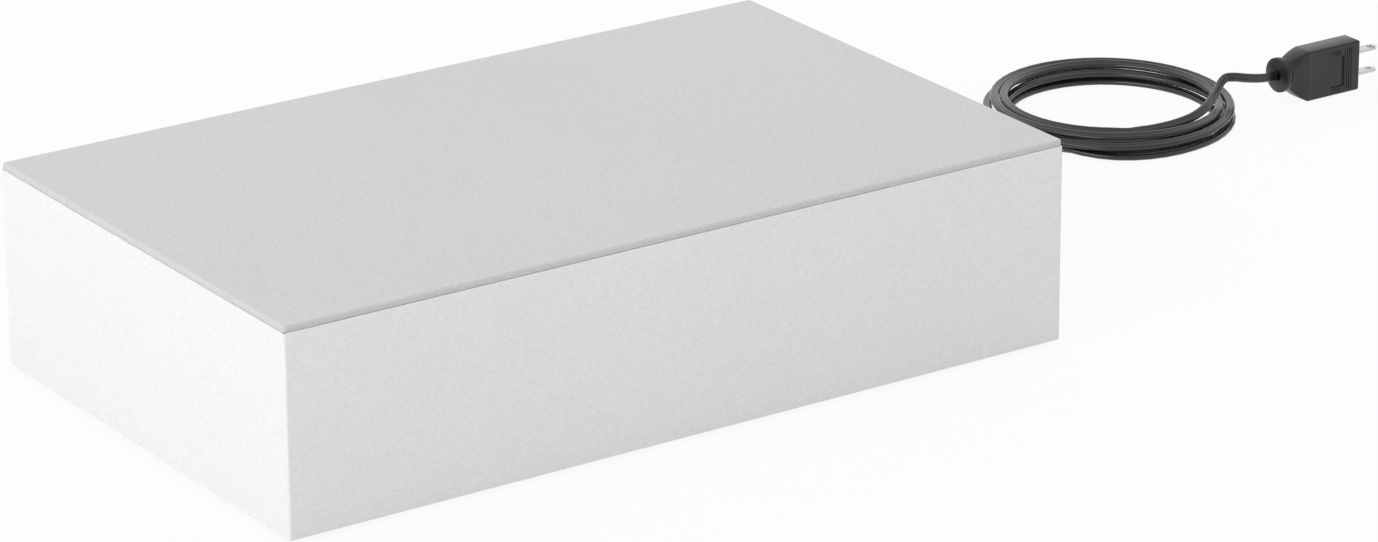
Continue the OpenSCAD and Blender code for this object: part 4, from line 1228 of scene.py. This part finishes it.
def studio_world(scene, stage):
    """Soft light from all round, brighter behind the object, and plain white to the camera."""
    world = bpy.data.worlds.new("Studio")
    scene.world = world
    world.use_nodes = True
    tree = world.node_tree
    tree.nodes.clear()
    out = node(tree, "ShaderNodeOutputWorld", 600, 0)
    even = node(tree, "ShaderNodeBackground", -100, 0)
    even.inputs["Color"].default_value = (1, 1, 1, 1)
    place = node(tree, "ShaderNodeTexCoord", -900, 0)
    behind = node(tree, "ShaderNodeVectorMath", -700, 0, operation="DOT_PRODUCT")
    behind.inputs[1].default_value = BEHIND
    level = node(tree, "ShaderNodeMapRange", -450, 0)
    level.inputs["From Min"].default_value = -1.0
    level.inputs["To Min"].default_value = stage.world_light * (1 - stage.backdrop_light)
    level.inputs["To Max"].default_value = stage.world_light * (1 + stage.backdrop_light)
    tree.links.new(place.outputs["Generated"], behind.inputs[0])
    tree.links.new(behind.outputs["Value"], level.inputs["Value"])
    tree.links.new(level.outputs["Result"], even.inputs["Strength"])
    seen = node(tree, "ShaderNodeBackground", -100, -150)
    seen.inputs["Color"].default_value = (1, 1, 1, 1)
    seen.inputs["Strength"].default_value = 1.0
    paths = node(tree, "ShaderNodeLightPath", -300, 300)
    mix = node(tree, "ShaderNodeMixShader", 300, 0)
    tree.links.new(paths.outputs["Is Camera Ray"], mix.inputs[0])
    tree.links.new(even.outputs[0], mix.inputs[1])
    tree.links.new(seen.outputs[0], mix.inputs[2])
    tree.links.new(mix.outputs[0], out.inputs["Surface"])


def pale_floor(scene, colour):
    """A wide matt floor just under the feet, with the object's shadow on it."""
    bm = bmesh.new()
    bmesh.ops.create_grid(bm, x_segments=1, y_segments=1, size=FLOOR_HALF)
    mesh = bpy.data.meshes.new("floor")
    bm.to_mesh(mesh)
    bm.free()
    floor = bpy.data.objects.new("floor", mesh)
    scene.collection.objects.link(floor)
    floor.location = (0, 0, -FLOOR_DROP)
    material = bpy.data.materials.new("Pale Floor")
    material.use_nodes = True
    tree = material.node_tree
    tree.nodes.clear()
    matt = node(tree, "ShaderNodeBsdfDiffuse", -100, 0)
    matt.inputs["Color"].default_value = (*colour, 1)
    out = node(tree, "ShaderNodeOutputMaterial", 600, 0)
    mix = white_when_seen(tree, matt.outputs[0], FLOOR_WHITE_SHARE)
    tree.links.new(mix.outputs[0], out.inputs["Surface"])
    mesh.materials.append(material)


def photo_camera(scene, lens):
    """The camera in the place and direction that the photo was taken from."""
    data = bpy.data.cameras.new("Camera")
    data.lens = lens
    data.sensor_width = 36
    data.clip_start = 0.05
    data.clip_end = 100
    camera = bpy.data.objects.new("Camera", data)
    scene.collection.objects.link(camera)
    ahead = Vector(CAMERA_AHEAD)
    right = ahead.cross(Vector(CAMERA_ABOVE)).normalized()
    above = right.cross(ahead).normalized()
    turn = Matrix((right, above, -ahead.normalized())).transposed().to_4x4()
    camera.matrix_world = Matrix.Translation(CAMERA_PLACE) @ turn
    scene.camera = camera


class LIGHTBOX_OT_stage(bpy.types.Operator):
    """Set up the floor, the soft light and the camera"""

    bl_idname = "light_box.stage"
    bl_label = "Stage"

    def execute(self, context):
        scene = context.scene
        stage = scene.light_box_stage
        scene.view_settings.view_transform = "Standard"
        studio_world(scene, stage)
        pale_floor(scene, stage.floor_colour)
        wide_lamp("Left Softbox", KEY_TOWARDS, stage.key_light, KEY_SPREAD)
        photo_camera(scene, stage.lens)
        return {"FINISHED"}


class LIGHTBOX_PT_sidebar(bpy.types.Panel):
    """Lists the operators that build the light box"""

    bl_idname = "LIGHTBOX_PT_sidebar"
    bl_label = "Light Box"
    bl_space_type = "VIEW_3D"
    bl_region_type = "UI"
    bl_category = "Light Box"

    def draw(self, context):
        column = self.layout.column()
        for operator in OPERATORS:
            column.operator(operator.bl_idname)


GROUPS = {
    "light_box_case": LightBoxCase,
    "light_box_panel": LightBoxPanel,
    "light_box_cord": LightBoxCord,
    "light_box_plug": LightBoxPlug,
    "light_box_lamps": LightBoxLamps,
    "light_box_stage": LightBoxStage,
}
OPERATORS = (
    LIGHTBOX_OT_stage,
    LIGHTBOX_OT_plug,
    LIGHTBOX_OT_blades,
    LIGHTBOX_OT_bushing,
    LIGHTBOX_OT_cord,
    LIGHTBOX_OT_case,
    LIGHTBOX_OT_panel,
    LIGHTBOX_OT_switch,
    LIGHTBOX_OT_lamps,
    LIGHTBOX_OT_gear,
    LIGHTBOX_OT_fixings,
)


def register():
    for group in GROUPS.values():
        bpy.utils.register_class(group)
    for operator in OPERATORS:
        bpy.utils.register_class(operator)
    bpy.utils.register_class(LIGHTBOX_PT_sidebar)
    for name, group in GROUPS.items():
        setattr(bpy.types.Scene, name, PointerProperty(type=group))


def unregister():
    for name in GROUPS:
        delattr(bpy.types.Scene, name)
    bpy.utils.unregister_class(LIGHTBOX_PT_sidebar)
    for operator in reversed(OPERATORS):
        bpy.utils.unregister_class(operator)
    for group in reversed(list(GROUPS.values())):
        bpy.utils.unregister_class(group)


def main():
    register()
    bpy.ops.light_box.stage()
    bpy.ops.light_box.plug()
    bpy.ops.light_box.blades()
    bpy.ops.light_box.bushing()
    bpy.ops.light_box.cord()
    bpy.ops.light_box.case()
    bpy.ops.light_box.panel()
    bpy.ops.light_box.switch()
    bpy.ops.light_box.lamps()
    bpy.ops.light_box.gear()
    bpy.ops.light_box.fixings()
    bpy.context.view_layer.update()


if __name__ == "__main__":
    main()
